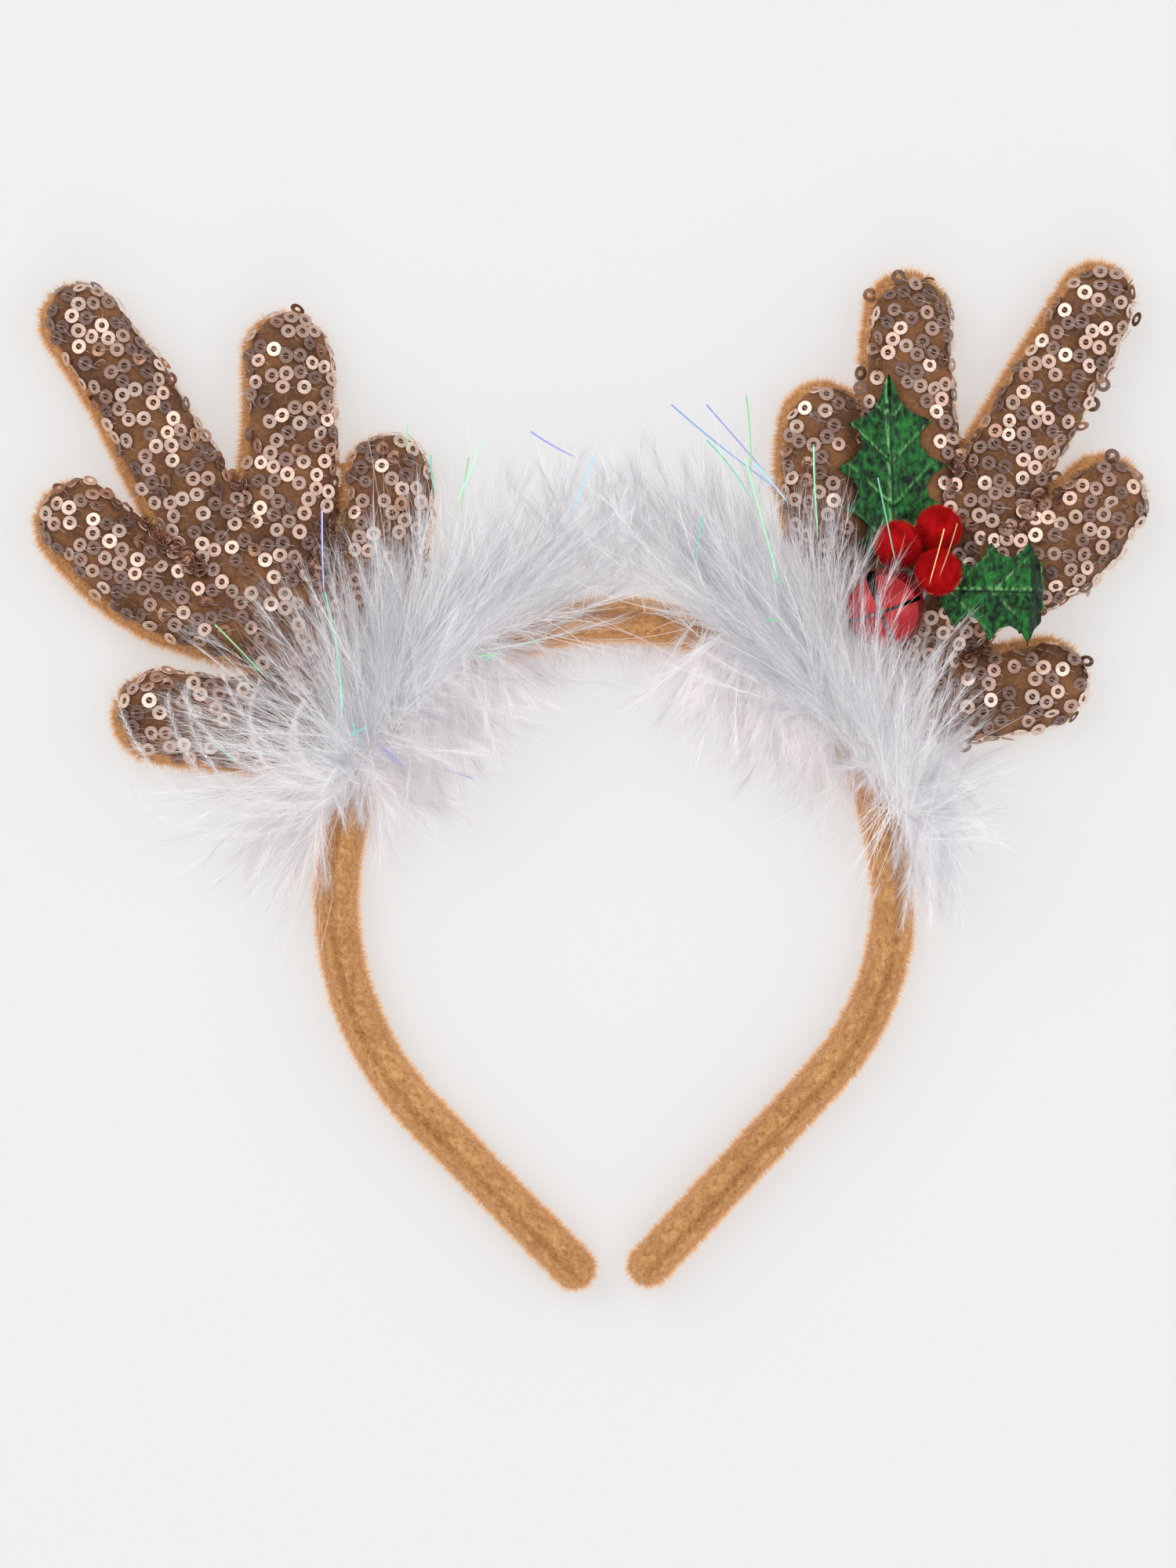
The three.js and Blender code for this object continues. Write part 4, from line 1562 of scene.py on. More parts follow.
BUNCHES: tuple[Bunch, ...] = (
    Bunch("low_left", (160, 153), (246, 198), 13, 34, -6, 0.25, 42, 116, 13, 0.85, 11, 0.5, False, 0.3),
    Bunch("over_left_antler", (160, 142), (178, 116), 16, 45, 13, 0.1, 50, 46, 19, 0.4, 16, 0.15),
    Bunch("left_column", (157, 132), (106, 70), 14, 46, 22, 0.05, 92, 100, 15, 0.3, 14, 0.05),
    Bunch("crown_left", (150, 108), (68, 42), 15, 46, 16, 0.2, 104, 116, 15, 0.4, 14, 0.0, False),
    Bunch("crown_back", (128, 56), (62, 118), 26, 33, 16, 0.0, 126, 90, 12, 0.85, 12, 0.0, False),
    Bunch("crown_right", (72, 34), (122, 142), 15, 48, 16, -0.2, 104, 116, 15, 0.4, 14, 0.0, False),
    Bunch("right_column", (54, 25), (106, 124), 14, 46, 22, -0.1, 88, 100, 15, 0.4, 14, 0.05),
    Bunch("bell_veil", (36, 14), (80, 100), 12, 40, 50, 0.0, 84, 70, 14, 0.4, 20, 0.2, True, 0.12),
    Bunch("leaf_veil", (30, 18), (60, 80), 10, 42, 42, 0.0, 18, 60, 12, 0.5, 20, 0.1),
    Bunch("bell_side", (48, 32), (84, 104), 10, 43, 44, 0.0, 50, 70, 14, 0.4, 20, 0.15),
    Bunch("right_out", (26, 12), (74, 8), 16, 24, 12, 0.1, 34, 80, 12, 0.8, 14, 0.1, True, 0.3),
    Bunch("right_puff", (30, 12), (306, 262), 12, 26, 0, 0.1, 96, 110, 11, 1.15, 13, 0.05, False, 0.36),
    Bunch("knot_left", (157, 146), (215, 140), 45, 11, 26, 0.0, 66, 64, 9, 0.3, 14.5, 0.1, False, 0.1),
    Bunch("knot_right", (34, 18), (330, 20), 45, 11, 26, 0.0, 60, 64, 9, 0.7, 14.5, 0.1, False, 0.1),
    Bunch("cover_left", (156, 115), (352, 300), 45, 12, 24, 0.0, 106, 66, 9, 0.35, 13.5, 0.3, False, 0.12),
    Bunch("cover_right", (68, 34), (250, 200), 45, 12, 24, 0.0, 106, 66, 9, 0.35, 13.5, 0.3, False, 0.12),
    Bunch("inside_right", (72, 37), (246, 274), 24, 25, 6, 0.1, 112, 104, 13, 0.15, 13, 0.75, False, 0.26),
    Bunch("inside_left", (153, 114), (336, 292), 27, 25, 6, -0.1, 112, 104, 13, 0.15, 13, 0.65, False, 0.3),
)
LOOSE: tuple[Loose, ...] = (
    Loose(70, (158, 146), (118, 200), (30, 52), 9, 16.5),
    Loose(150, (146, 112), (48, 100), (34, 56), 14, 15),
    Loose(60, (118, 62), (60, 120), (22, 40), 14, 14),
    Loose(150, (66, 30), (95, 140), (34, 58), 16, 15),
    Loose(60, (28, 14), (-60, 80), (20, 38), 8, 15),
    Loose(34, (24, 17), (222, 262), (14, 26), 3, 15.5, 0.195),
    Loose(24, (124, 98), (-18, 24), (14, 38), 2, 13.6, 0.195, 0.22),
    Loose(15, (78, 58), (154, 204), (12, 30), 2, 13.6, 0.195, 0.22),
    Loose(90, (158, 118), (262, 345), (18, 34), 0, 10),
    Loose(90, (66, 22), (200, 285), (18, 34), 0, 10),
    Loose(60, (166, 156), (190, 262), (24, 44), 0, 10),
)
CURLS: tuple[Curl, ...] = (
    Curl(160, 208, -112, 48, 14, 4.8), Curl(158, 198, -136, 35, 16, 4.6), Curl(157, 188, -140, 23, 18, 4.4),
    Curl(160, 212, -112, 61, 13, 4.0), Curl(157, 168, -58, 34, 19, 4.0), Curl(161, 222, -84, 46, 11, 4.8),
    Curl(158, 186, -70, 40, 18, 3.8), Curl(160, 205, -118, 46, 15, 4.6), Curl(157, 176, -120, 22, 19, 4.2),
)
GLINTS: tuple[Glint, ...] = (
    Glint((-28.9, 98.1), (-34.0, 85.5), 22, 0.72), Glint((-31.5, 95.0), (-33.2, 83.0), 20, 0.8),
    Glint((-44.7, 102.5), (-44.5, 96.4), 20, 0.75), Glint((-39.6, 95.5), (-38.6, 87.0), 22, 0.45),
    Glint((-18.2, 100.6), (-8.2, 94.9), 20, 0.08), Glint((-4.6, 95.5), (-9.4, 82.3), 22, 0.25),
    Glint((12.1, 106.3), (36.0, 87.4), 24, 0.2), Glint((19.7, 106.3), (32.3, 91.8), 22, 0.05),
    Glint((19.7, 98.6), (29.8, 84.8), 25, 0.6), Glint((28.2, 108.3), (29.1, 89.8), 24, 0.75),
    Glint((29.8, 93.7), (37.4, 84.8), 26, 0.3), Glint((19.0, 82.3), (17.7, 72.3), 26, 0.5),
    Glint((27.9, 94.9), (35.4, 67.2), 27, 0.74), Glint((32.3, 60.2), (36.0, 59.5), 27, 0.7),
    Glint((34.2, 69.7), (35.9, 67.2), 28, 0.7), Glint((-20.7, 54.6), (-14.5, 56.4), 15, 0.7),
    Glint((-28.2, 51.3), (-25.2, 53.2), 17, 0.65), Glint((-63.1, 83.5), (-62.6, 64.6), 23, 0.05),
    Glint((-62.4, 65.8), (-58.8, 37.4), 25, 0.6), Glint((-86.2, 59.0), (-74.6, 46.9), 21, 0.75),
    Glint((-86.2, 33.2), (-81.4, 29.2), 20, 0.72), Glint((-30.3, 52.2), (-26.4, 52.6), 18, 0.75),
    Glint((-50.3, 32.6), (-45.6, 28.4), 20, 0.05), Glint((-36.9, 27.9), (-30.3, 25.8), 14, 0.08),
    Glint((-56.5, 37.5), (-55.0, 34.0), 26, 0.5), Glint((-57.0, 35.0), (-53.5, 37.0), 26, 0.45),
    Glint((70.6, 79.4), (67.3, 67.2), 34, 0.98), Glint((73.4, 80.6), (69.5, 69.0), 34, 0.98),
    Glint((56.4, 90.4), (60.4, 71.4), 31, 0.64), Glint((42.7, 97.4), (43.7, 77.5), 26, 0.66),
)


@dataclass
class FeatherTrim:
    """Marabou down swept over the crown from a bunch at each side, with iridescent strands."""

    crown_radius: float = PlushBand.crown_radius
    band_thickness: float = PlushBand.thickness
    barb_width: float = 0.07 * MM
    ceiling: float = 36.0 * MM
    ceiling_give: float = 9.0 * MM
    seed: int = 77
    bunches: tuple[Bunch, ...] = BUNCHES
    loose: tuple[Loose, ...] = LOOSE
    curls: tuple[Curl, ...] = CURLS
    glints: tuple[Glint, ...] = GLINTS
    stem_width: float = 0.22 * MM
    tinsel_width: float = 0.42 * MM
    gold_width: float = 0.27 * MM
    wisp_count: int = 4800

    def cord(self, turn: np.ndarray, beside: np.ndarray | float, height: np.ndarray | float) -> np.ndarray:
        """Gives points along the band.

        Args:
            turn: Where round the crown.
            beside: How far out of the band's middle, in band thicknesses.
            height: How high, in millimetres.

        Returns:
            The points.
        """
        return around(turn, self.crown_radius + self.band_thickness * beside, height * MM)

    def kept_in(self, spines: np.ndarray, floor: np.ndarray | float) -> np.ndarray:
        """Lays down what would sink below the table or stand too high.

        Args:
            spines: The strands' points.
            floor: The least height of each strand.

        Returns:
            The points, with their heights eased in.
        """
        height = np.maximum(spines[..., 2], floor)
        over = np.maximum(height - self.ceiling, 0)
        spines[..., 2] = np.minimum(height, self.ceiling) + over / (1 + over / self.ceiling_give)
        return spines

    def plumed(self, row: Bunch, dice: np.random.Generator) -> Patch:
        """Grows one bunch: each plume has a curved quill with soft barbs all round it.

        Args:
            row: The bunch.
            dice: The source of chance.

        Returns:
            The barbs.
        """
        count = row.plumes
        share = dice.random(count)
        turn = row.turns[0] + share * (row.turns[1] - row.turns[0]) + dice.normal(0, 1.5, count)
        heading = np.radians(np.interp(share, (0, 1), row.headings) + dice.normal(0, row.fan, count))
        lift = np.radians(dice.normal(row.lift, 8, count))
        ahead = pointing(heading, lift)
        side = np.stack([-np.sin(heading), np.cos(heading), 0 * heading], -1)
        bend = side * (row.curl + dice.normal(0, 0.16, count))[:, None]
        bend[:, 2] -= np.sin(lift) + dice.uniform(-0.1, 0.3, count)
        root = self.cord(turn, dice.normal(row.beside, 0.26, count), dice.normal(row.height, 1.2, count))
        length = (row.length * MM * dice.uniform(0.55, 1.06, count))[:, None]
        middle = root + ahead * length * 0.5
        tip = middle + unit(ahead + bend) * length * 0.5
        which = np.repeat(np.arange(count), row.barbs)
        total = len(which)
        s = dice.beta(1.05, 0.95, total)[:, None] * 0.86
        a, b, c = root[which], middle[which], tip[which]
        start = on_curve(a, b, c, s)
        run = unit((1 - s) * (b - a) + s * (c - b))
        off = square_to(run, dice.normal(size=(total, 3)))
        splay = np.radians(dice.uniform(8, 44, total))[:, None] * (1 - 0.62 * s)
        eases = (1.0, 0.6, 0.1) if row.fine else (0.9, 0.25)
        long = row.barb * MM * dice.uniform(0.45, 1.15, (total, 1)) * (1.1 - 0.55 * s) / len(eases)
        wave = dice.normal(0, 0.2, (total, 3))
        points = [start]
        for ease in eases:
            step = unit(run * np.cos(splay * ease) + off * np.sin(splay * ease) + wave * (1.2 - ease))
            points.append(points[-1] + step * long)
        spines = self.kept_in(np.stack(points, axis=1), (0.3 + dice.random((total, 1))) * MM)
        widths = self.barb_width * np.tile(np.linspace(1.05, 0.3, len(points)), (total, 1))
        across = square_to(run, dice.normal(size=(total, 3)))
        tone = dice.normal(0, 0.26, count)[which]
        values = tones(np.clip(dice.random(total) + tone, 0, 1), row.glow,
                       np.clip(row.warmth + dice.normal(0, 0.12, total), 0, 1))
        shares = np.linspace(0, 1, 6)
        quills = on_curve(root, middle, tip, shares[:, None, None]).swapaxes(0, 1)
        stems = np.tile(self.barb_width * (2.8 - 1.4 * shares), (count, 1))
        bright = tones(dice.uniform(0.85, 1.0, count), row.glow, row.warmth)
        beside = square_to(ahead, dice.normal(size=(count, 3)))
        quill = ribbons(self.kept_in(quills, 0.5 * MM), stems, beside, bright)
        return joined([ribbons(spines, widths, across, values), quill])

    def threads(self, row: Loose, dice: np.random.Generator) -> Patch:
        """Grows single long strands.

        Args:
            row: The strands.
            dice: The source of chance.

        Returns:
            The strands.
        """
        count = row.count
        turn = np.interp(dice.random(count), (0, 1), row.turns)
        heading = np.radians(np.interp(dice.random(count), (0, 1), row.headings))
        ahead = pointing(heading, np.radians(dice.normal(row.lift, 7, count)))
        root = self.cord(turn, dice.normal(0.4, 0.2, count), dice.normal(row.height, 1.0, count))
        root += ahead * row.hidden * MM * dice.uniform(0.6, 1.4, (count, 1))
        length = (dice.uniform(*row.lengths, count) * MM)[:, None]
        sway = (dice.normal(0, 1, (count, 3)) - 0.6 * UP) * row.bend
        shares = np.linspace(0, 1, 7)
        spines = np.stack([root + ahead * length * s + sway * length * s * s for s in shares], axis=1)
        widths = np.tile(row.width * MM * (1 - 0.5 * shares), (count, 1))
        across = square_to(ahead, dice.normal(size=(count, 3)) * 0.5 + 0.1 * UP)
        values = tones(dice.uniform(0.5, 1.0, count), 0.15, dice.random(count) * 0.4)
        return ribbons(self.kept_in(spines, 0.4 * MM), widths, across, values)

    def swept(self, row: Curl, dice: np.random.Generator) -> Patch:
        """Grows one long plume that sweeps round: a bare-looking quill with short barbs.

        Args:
            row: The plume.
            dice: The source of chance.

        Returns:
            The quill and its barbs.
        """
        shares = np.linspace(0, 1, 25)
        heading = np.radians(row.heading + row.sweep * shares ** 0.9)
        lift = np.radians(np.interp(shares, (0, 0.4, 1), (16, 4, -7)))
        run = pointing(heading, lift)
        steps = run * row.length * MM / (len(shares) - 1)
        quill = self.cord(row.turn, 0.5, row.height) + np.cumsum(steps, axis=0)
        quill[:, 2] = np.maximum(quill[:, 2], 2 * MM)
        stem = ribbons(quill[None], self.stem_width * (1 - 0.7 * shares)[None], np.array([[0.3, 0.3, 0.9]]),
                       tones(np.array([0.85]), 0.2, 0.1))
        count = int(row.length * 15)
        at = dice.beta(1.1, 1.0, count)
        start = np.stack([np.interp(at, shares, quill[:, axis]) for axis in range(3)], -1)
        ahead = unit(np.stack([np.interp(at, shares, run[:, axis]) for axis in range(3)], -1))
        off = square_to(ahead, dice.normal(size=(count, 3)))
        long = row.barb * MM * (dice.uniform(0.5, 1.1, count) * (1.1 - 0.6 * at))[:, None] / 2
        middle = start + unit(ahead + 0.75 * off) * long
        tip = middle + unit(ahead + 0.3 * off + dice.normal(0, 0.2, (count, 3))) * long
        spines = self.kept_in(np.stack([start, middle, tip], axis=1), 0.4 * MM)
        widths = np.tile(self.barb_width * np.array([1.0, 0.8, 0.0]), (count, 1))
        values = tones(dice.uniform(0.45, 1.0, count), 0.2, 0.2)
        return joined([stem, ribbons(spines, widths, square_to(ahead, dice.normal(size=(count, 3))), values)])

    def wisps(self, dice: np.random.Generator) -> Patch:
        """Grows the thin wisps under the crown that reach into the head opening.

        Args:
            dice: The source of chance.

        Returns:
            The wisps.
        """
        count = self.wisp_count
        turn = dice.uniform(30, 152, count)
        angle = np.radians(turn)
        inward = -np.stack([np.cos(angle), np.sin(angle), 0 * angle], -1)
        beside = np.stack([-np.sin(angle), np.cos(angle), 0 * angle], -1)
        root = self.cord(turn, dice.uniform(-0.6, -0.3, count), dice.uniform(1, 8, count))
        near = np.clip(np.abs(turn - 90) / 55, 0, 1)
        length = ((7 + 10 * near) * dice.beta(1.4, 1.8, count) * MM)[:, None] * 1.5
        ahead = unit(inward + beside * dice.normal(0, 0.4, (count, 1)) + dice.normal(0, 0.12, (count, 3)))
        bend = dice.normal(0, 0.22, (count, 3))
        spines = np.stack([root + ahead * length * s + bend * length * s * s for s in (0, 0.5, 1)], axis=1)
        spines[..., 2] = np.maximum(spines[..., 2], 0.4 * MM)
        widths = self.barb_width * np.tile([1.0, 0.8, 0.0], (count, 1))
        across = square_to(ahead, dice.normal(size=(count, 3)))
        return ribbons(spines, widths, across, tones(dice.random(count), 0.2, dice.random(count)))

    def tinsel(self, dice: np.random.Generator) -> Patch:
        """Lays the iridescent strands that show among the down.

        Args:
            dice: The source of chance.

        Returns:
            The strands.
        """
        count = len(self.glints)
        lift = [[row.height] for row in self.glints]
        start = np.hstack([[row.start for row in self.glints], lift]) * MM + crown_centre()
        end = np.hstack([[row.end for row in self.glints], lift]) * MM + crown_centre()
        run = end - start
        sideways = np.cross(square_to(run, np.tile(UP, (count, 1))), unit(run))
        bow = sideways * dice.normal(0, 0.018, (count, 1)) * np.linalg.norm(run, axis=1, keepdims=True)
        shares = np.linspace(0, 1, 7)
        spines = np.stack([start + run * s + bow * 4 * s * (1 - s) for s in shares], axis=1)
        hue = np.array([row.hue for row in self.glints])
        widths = np.where(hue > 0.9, self.gold_width, self.tinsel_width)[:, None] * (1 - 0.3 * shares)
        twist = unit(sideways + dice.normal(0, 0.25, (count, 3)))
        return ribbons(spines, widths, twist, {"shade": hue})

    def build(self, down: bpy.types.Material, film: bpy.types.Material) -> int:
        """Builds the trim in place of its plain body of locks.

        Args:
            down: The down's material.
            film: The iridescent strands' material.

        Returns:
            How many triangles it took.
        """
        dice = np.random.default_rng(self.seed)
        dressed = [(self.plumed(row, dice), row.name, down) for row in self.bunches]
        dressed.append((joined([self.threads(row, dice) for row in self.loose]), "long_strands", down))
        dressed.append((joined([self.swept(row, dice) for row in self.curls]), "curled_plumes", down))
        dressed.append((self.wisps(dice), "inner_wisps", down))
        dressed.append((self.tinsel(dice), "tinsel", film))
        for patch, name, material in dressed:
            dress(patch.made(f"trim_{name}", smooth=False), material, "feather_trim")
            LOG.info("trim_%s: %d triangles", name, patch.count())
        return sum(patch.count() for patch, _, _ in dressed)


# The holly sprig

@dataclass(frozen=True)
class EdgePoint:
    """One corner of a leaf's spiny edge, as shares of its length and half width."""

    along: float
    half: float


@dataclass
class HollyLeaf:
    """A spiny foil leaf with a raised rib and slanting veins."""

    node: str
    heading: float
    length: float = 40 * MM
    half_width: float = 11 * MM
    thickness: float = 0.35 * MM
    edge: tuple[EdgePoint, ...] = (
        EdgePoint(0, 0.14), EdgePoint(0.04, 0.42), EdgePoint(0.09, 0.74), EdgePoint(0.14, 0.5),
        EdgePoint(0.19, 0.5), EdgePoint(0.24, 0.68), EdgePoint(0.28, 0.98), EdgePoint(0.33, 0.72),
        EdgePoint(0.39, 0.66), EdgePoint(0.45, 0.8), EdgePoint(0.5, 1.08), EdgePoint(0.55, 0.74),
        EdgePoint(0.62, 0.56), EdgePoint(0.69, 0.6), EdgePoint(0.74, 0.84), EdgePoint(0.79, 0.42),
        EdgePoint(0.85, 0.22), EdgePoint(0.92, 0.13), EdgePoint(1, 0.01),
    )
    bends: tuple[tuple[float, float], ...] = ((0.0, 0.0),)
    bend_reach: float = 0.012
    crown: float = 1.2 * MM
    ridge_height: float = 0.45 * MM
    vein_depth: float = 0.25 * MM
    crinkles: tuple[Relief, ...] = (Relief(0.2 * MM, 6 * MM), Relief(0.12 * MM, 2.4 * MM))
    streaks: Relief = Relief(0.5, 5 * MM)
    vein_gap: float = 0.235
    vein_width: float = 0.2 * MM
    ridge_beside: float = 0.62 * MM
    rows: int = 110
    columns: int = 45

    def sheet(self) -> Patch:
        """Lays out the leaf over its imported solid.

        Returns:
            The leaf as a closed thin sheet, with how near a vein each corner is.
        """
        low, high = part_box(self.node)
        share = np.linspace(0, 1, self.rows)
        half = self.half_width * np.interp(share, [p.along for p in self.edge], [p.half for p in self.edge])
        pitch = np.radians(np.interp(share, *self.eased_bends()))
        step = self.length / (self.rows - 1)
        run = np.concatenate([[0], np.cumsum(np.cos(pitch[:-1]) * step)])
        fall = -np.concatenate([[0], np.cumsum(np.sin(pitch[:-1]) * step)])
        across = np.linspace(-1, 1, self.columns)
        u, v = np.meshgrid(share, across, indexing="ij")
        side = v * half[:, None]
        vein, ridge = self.veins(u, side)
        flat_place = np.stack([u * self.length, side, 0 * u], -1)
        lift = self.ridge_height * ridge - self.vein_depth * vein
        lift -= self.crown * np.abs(v) * (half[:, None] / self.half_width)
        lift += sum(relief.at(flat_place, seed) for seed, relief in enumerate(self.crinkles, 9))
        angle = math.radians(self.heading)
        forward = np.array([math.cos(angle), math.sin(angle), 0])
        left = np.array([-math.sin(angle), math.cos(angle), 0])
        rise = np.stack([np.sin(pitch), np.cos(pitch)], -1)
        flat = run[:, None] + lift * rise[:, :1]
        tall = fall[:, None] + lift * rise[:, 1:]
        top = flat[..., None] * forward + side[..., None] * left + tall[..., None] * UP
        down = rise[:, None, :1] * forward + rise[:, None, 1:] * UP
        bottom = top - self.thickness * down
        both = np.stack([top, bottom]).reshape(-1, 3)
        middle = (both.min(0) + both.max(0)) / 2
        target = np.array(low + high) / 2
        both += np.array([target[0] - middle[0], target[1] - middle[1], 0])
        both[:, 2] += high.z - both[:, 2].max()
        grid = np.arange(self.rows * self.columns).reshape(self.rows, self.columns)
        cell = np.stack([grid[:-1, :-1], grid[1:, :-1], grid[1:, 1:], grid[:-1, 1:]], -1).reshape(-1, 4)
        rim = np.concatenate([grid[0], grid[1:, -1], grid[-1, -2::-1], grid[-2:0:-1, 0]])
        size = grid.size
        wall = np.stack([rim, np.roll(rim, -1), np.roll(rim, -1) + size, rim + size], -1)
        quads = np.vstack([cell, cell[:, ::-1] + size, wall])
        creases = np.array([start for start, _ in self.bends[1:]] or [2.0, 2.0])
        strip = (u > creases[0]) & (u < creases[-1])
        # At the last crease the rolled-under edge gets a painted highlight and loses the strip's painted
        # shadow
        rolled = np.exp(-((u - creases[-1]) / self.bend_reach) ** 2)
        streaks = 0.5 + self.streaks.at(flat_place * [0.3, 1.6, 1.0], 12)
        shadow = np.clip(strip * (0.55 + 0.4 * streaks) - rolled, 0, 0.92)
        values = {"vein": vein, "ridge": np.clip(ridge + rolled, 0, 1), "shadow": shadow}
        twice = {key: np.tile(numbers.ravel(), 2) for key, numbers in values.items()}
        return Patch(both, quads, values=twice)

    def eased_bends(self) -> tuple[list[float], list[float]]:
        """Spreads each bend over a short stretch of the leaf.

        Returns:
            Shares of the length, and the pitch in degrees at each.
        """
        shares: list[float] = []
        pitches: list[float] = []
        before = self.bends[0][1]
        for start, pitch in self.bends:
            shares += [max(start - self.bend_reach, 0.0), start + self.bend_reach]
            pitches += [before, pitch]
            before = pitch
        return shares, pitches

    def veins(self, u: np.ndarray, side: np.ndarray) -> tuple[np.ndarray, np.ndarray]:
        """Draws the rib and the slanting side veins, and the raised strip with a painted highlight beside
        each.

        Args:
            u: The share of the length.
            side: The distance from the rib.

        Returns:
            1 on a vein and 1 on the raised strip next to it, each falling to 0 beside it.
        """
        spacing = self.vein_gap * self.length
        slant = u * self.length - np.abs(side) * 1.02 - 0.04 * self.length
        off = slant - np.round(slant / spacing) * spacing
        reach = np.clip(1.25 - np.abs(side) / self.half_width, 0, 1) * (u > 0.06) * (u < 0.88)
        rib = np.exp(-(side / self.vein_width) ** 2)
        branch = np.exp(-(off / self.vein_width) ** 2) * reach
        rib_ridge = np.exp(-((np.abs(side) - self.ridge_beside) / (0.36 * MM)) ** 2)
        rib_ridge *= 0.55 + 0.45 * np.sign(side)
        branch_ridge = np.exp(-((off - self.ridge_beside) / (0.4 * MM)) ** 2) * reach
        return np.clip(rib + 0.7 * branch, 0, 1), np.clip(rib_ridge + 0.85 * branch_ridge, 0, 1)

    def build(self, foil: bpy.types.Material) -> int:
        """Builds the leaf in place of its plain solid.

        Args:
            foil: The foil's material.

        Returns:
            How many triangles it took.
        """
        patch = self.sheet()
        dress(patch.made(f"{self.node}_foil"), foil, self.node)
        return patch.count()


@dataclass
class FeltBerry:
    """A small round pompom of clipped red fuzz."""

    node: str
    seed: int
    fuzz: Nap = Nap(0.95 * MM, 0.07 * MM, 1.5 * MM, 0.3)
    swell: float = 0.12 * MM
    lumps: Relief = Relief(0.25 * MM, 4 * MM)
    count: int = 11000
    rows: int = 22
    sides: int = 40

    def build(self, felt: bpy.types.Material) -> int:
        """Builds the berry in place of its plain ball.

        Args:
            felt: The felt's material.

        Returns:
            How many triangles it took.
        """
        dice = np.random.default_rng(self.seed)
        low, high = (np.array(corner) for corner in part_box(self.node))
        middle, radius = (low + high) / 2, (high - low).max() / 2 + self.swell
        lie = np.linspace(-np.pi / 2, np.pi / 2, self.rows + 1)
        centres = middle + np.outer(np.sin(lie), UP) * radius
        directions = (np.tile(way, (self.rows + 1, 1)) for way in ([1.0, 0, 0], [0, 1.0, 0]))
        core = tube(centres, *directions, circle(self.sides), radius * np.maximum(np.cos(lie), 0.02))
        core.corners += unit(core.corners - middle) * self.lumps.at(core.corners, self.seed)[:, None]
        for name, level in (("along", 0.35), ("shade", 0.5), ("rim", 0.0)):
            core.values[name] = np.full(len(core.corners), level)
        facing = unit(dice.normal(size=(self.count, 3)))
        whole = joined([core, pile(middle + facing * radius * 0.99, facing, self.fuzz, dice)])
        dress(whole.made(f"{self.node}_pompom"), felt, self.node)
        return whole.count()


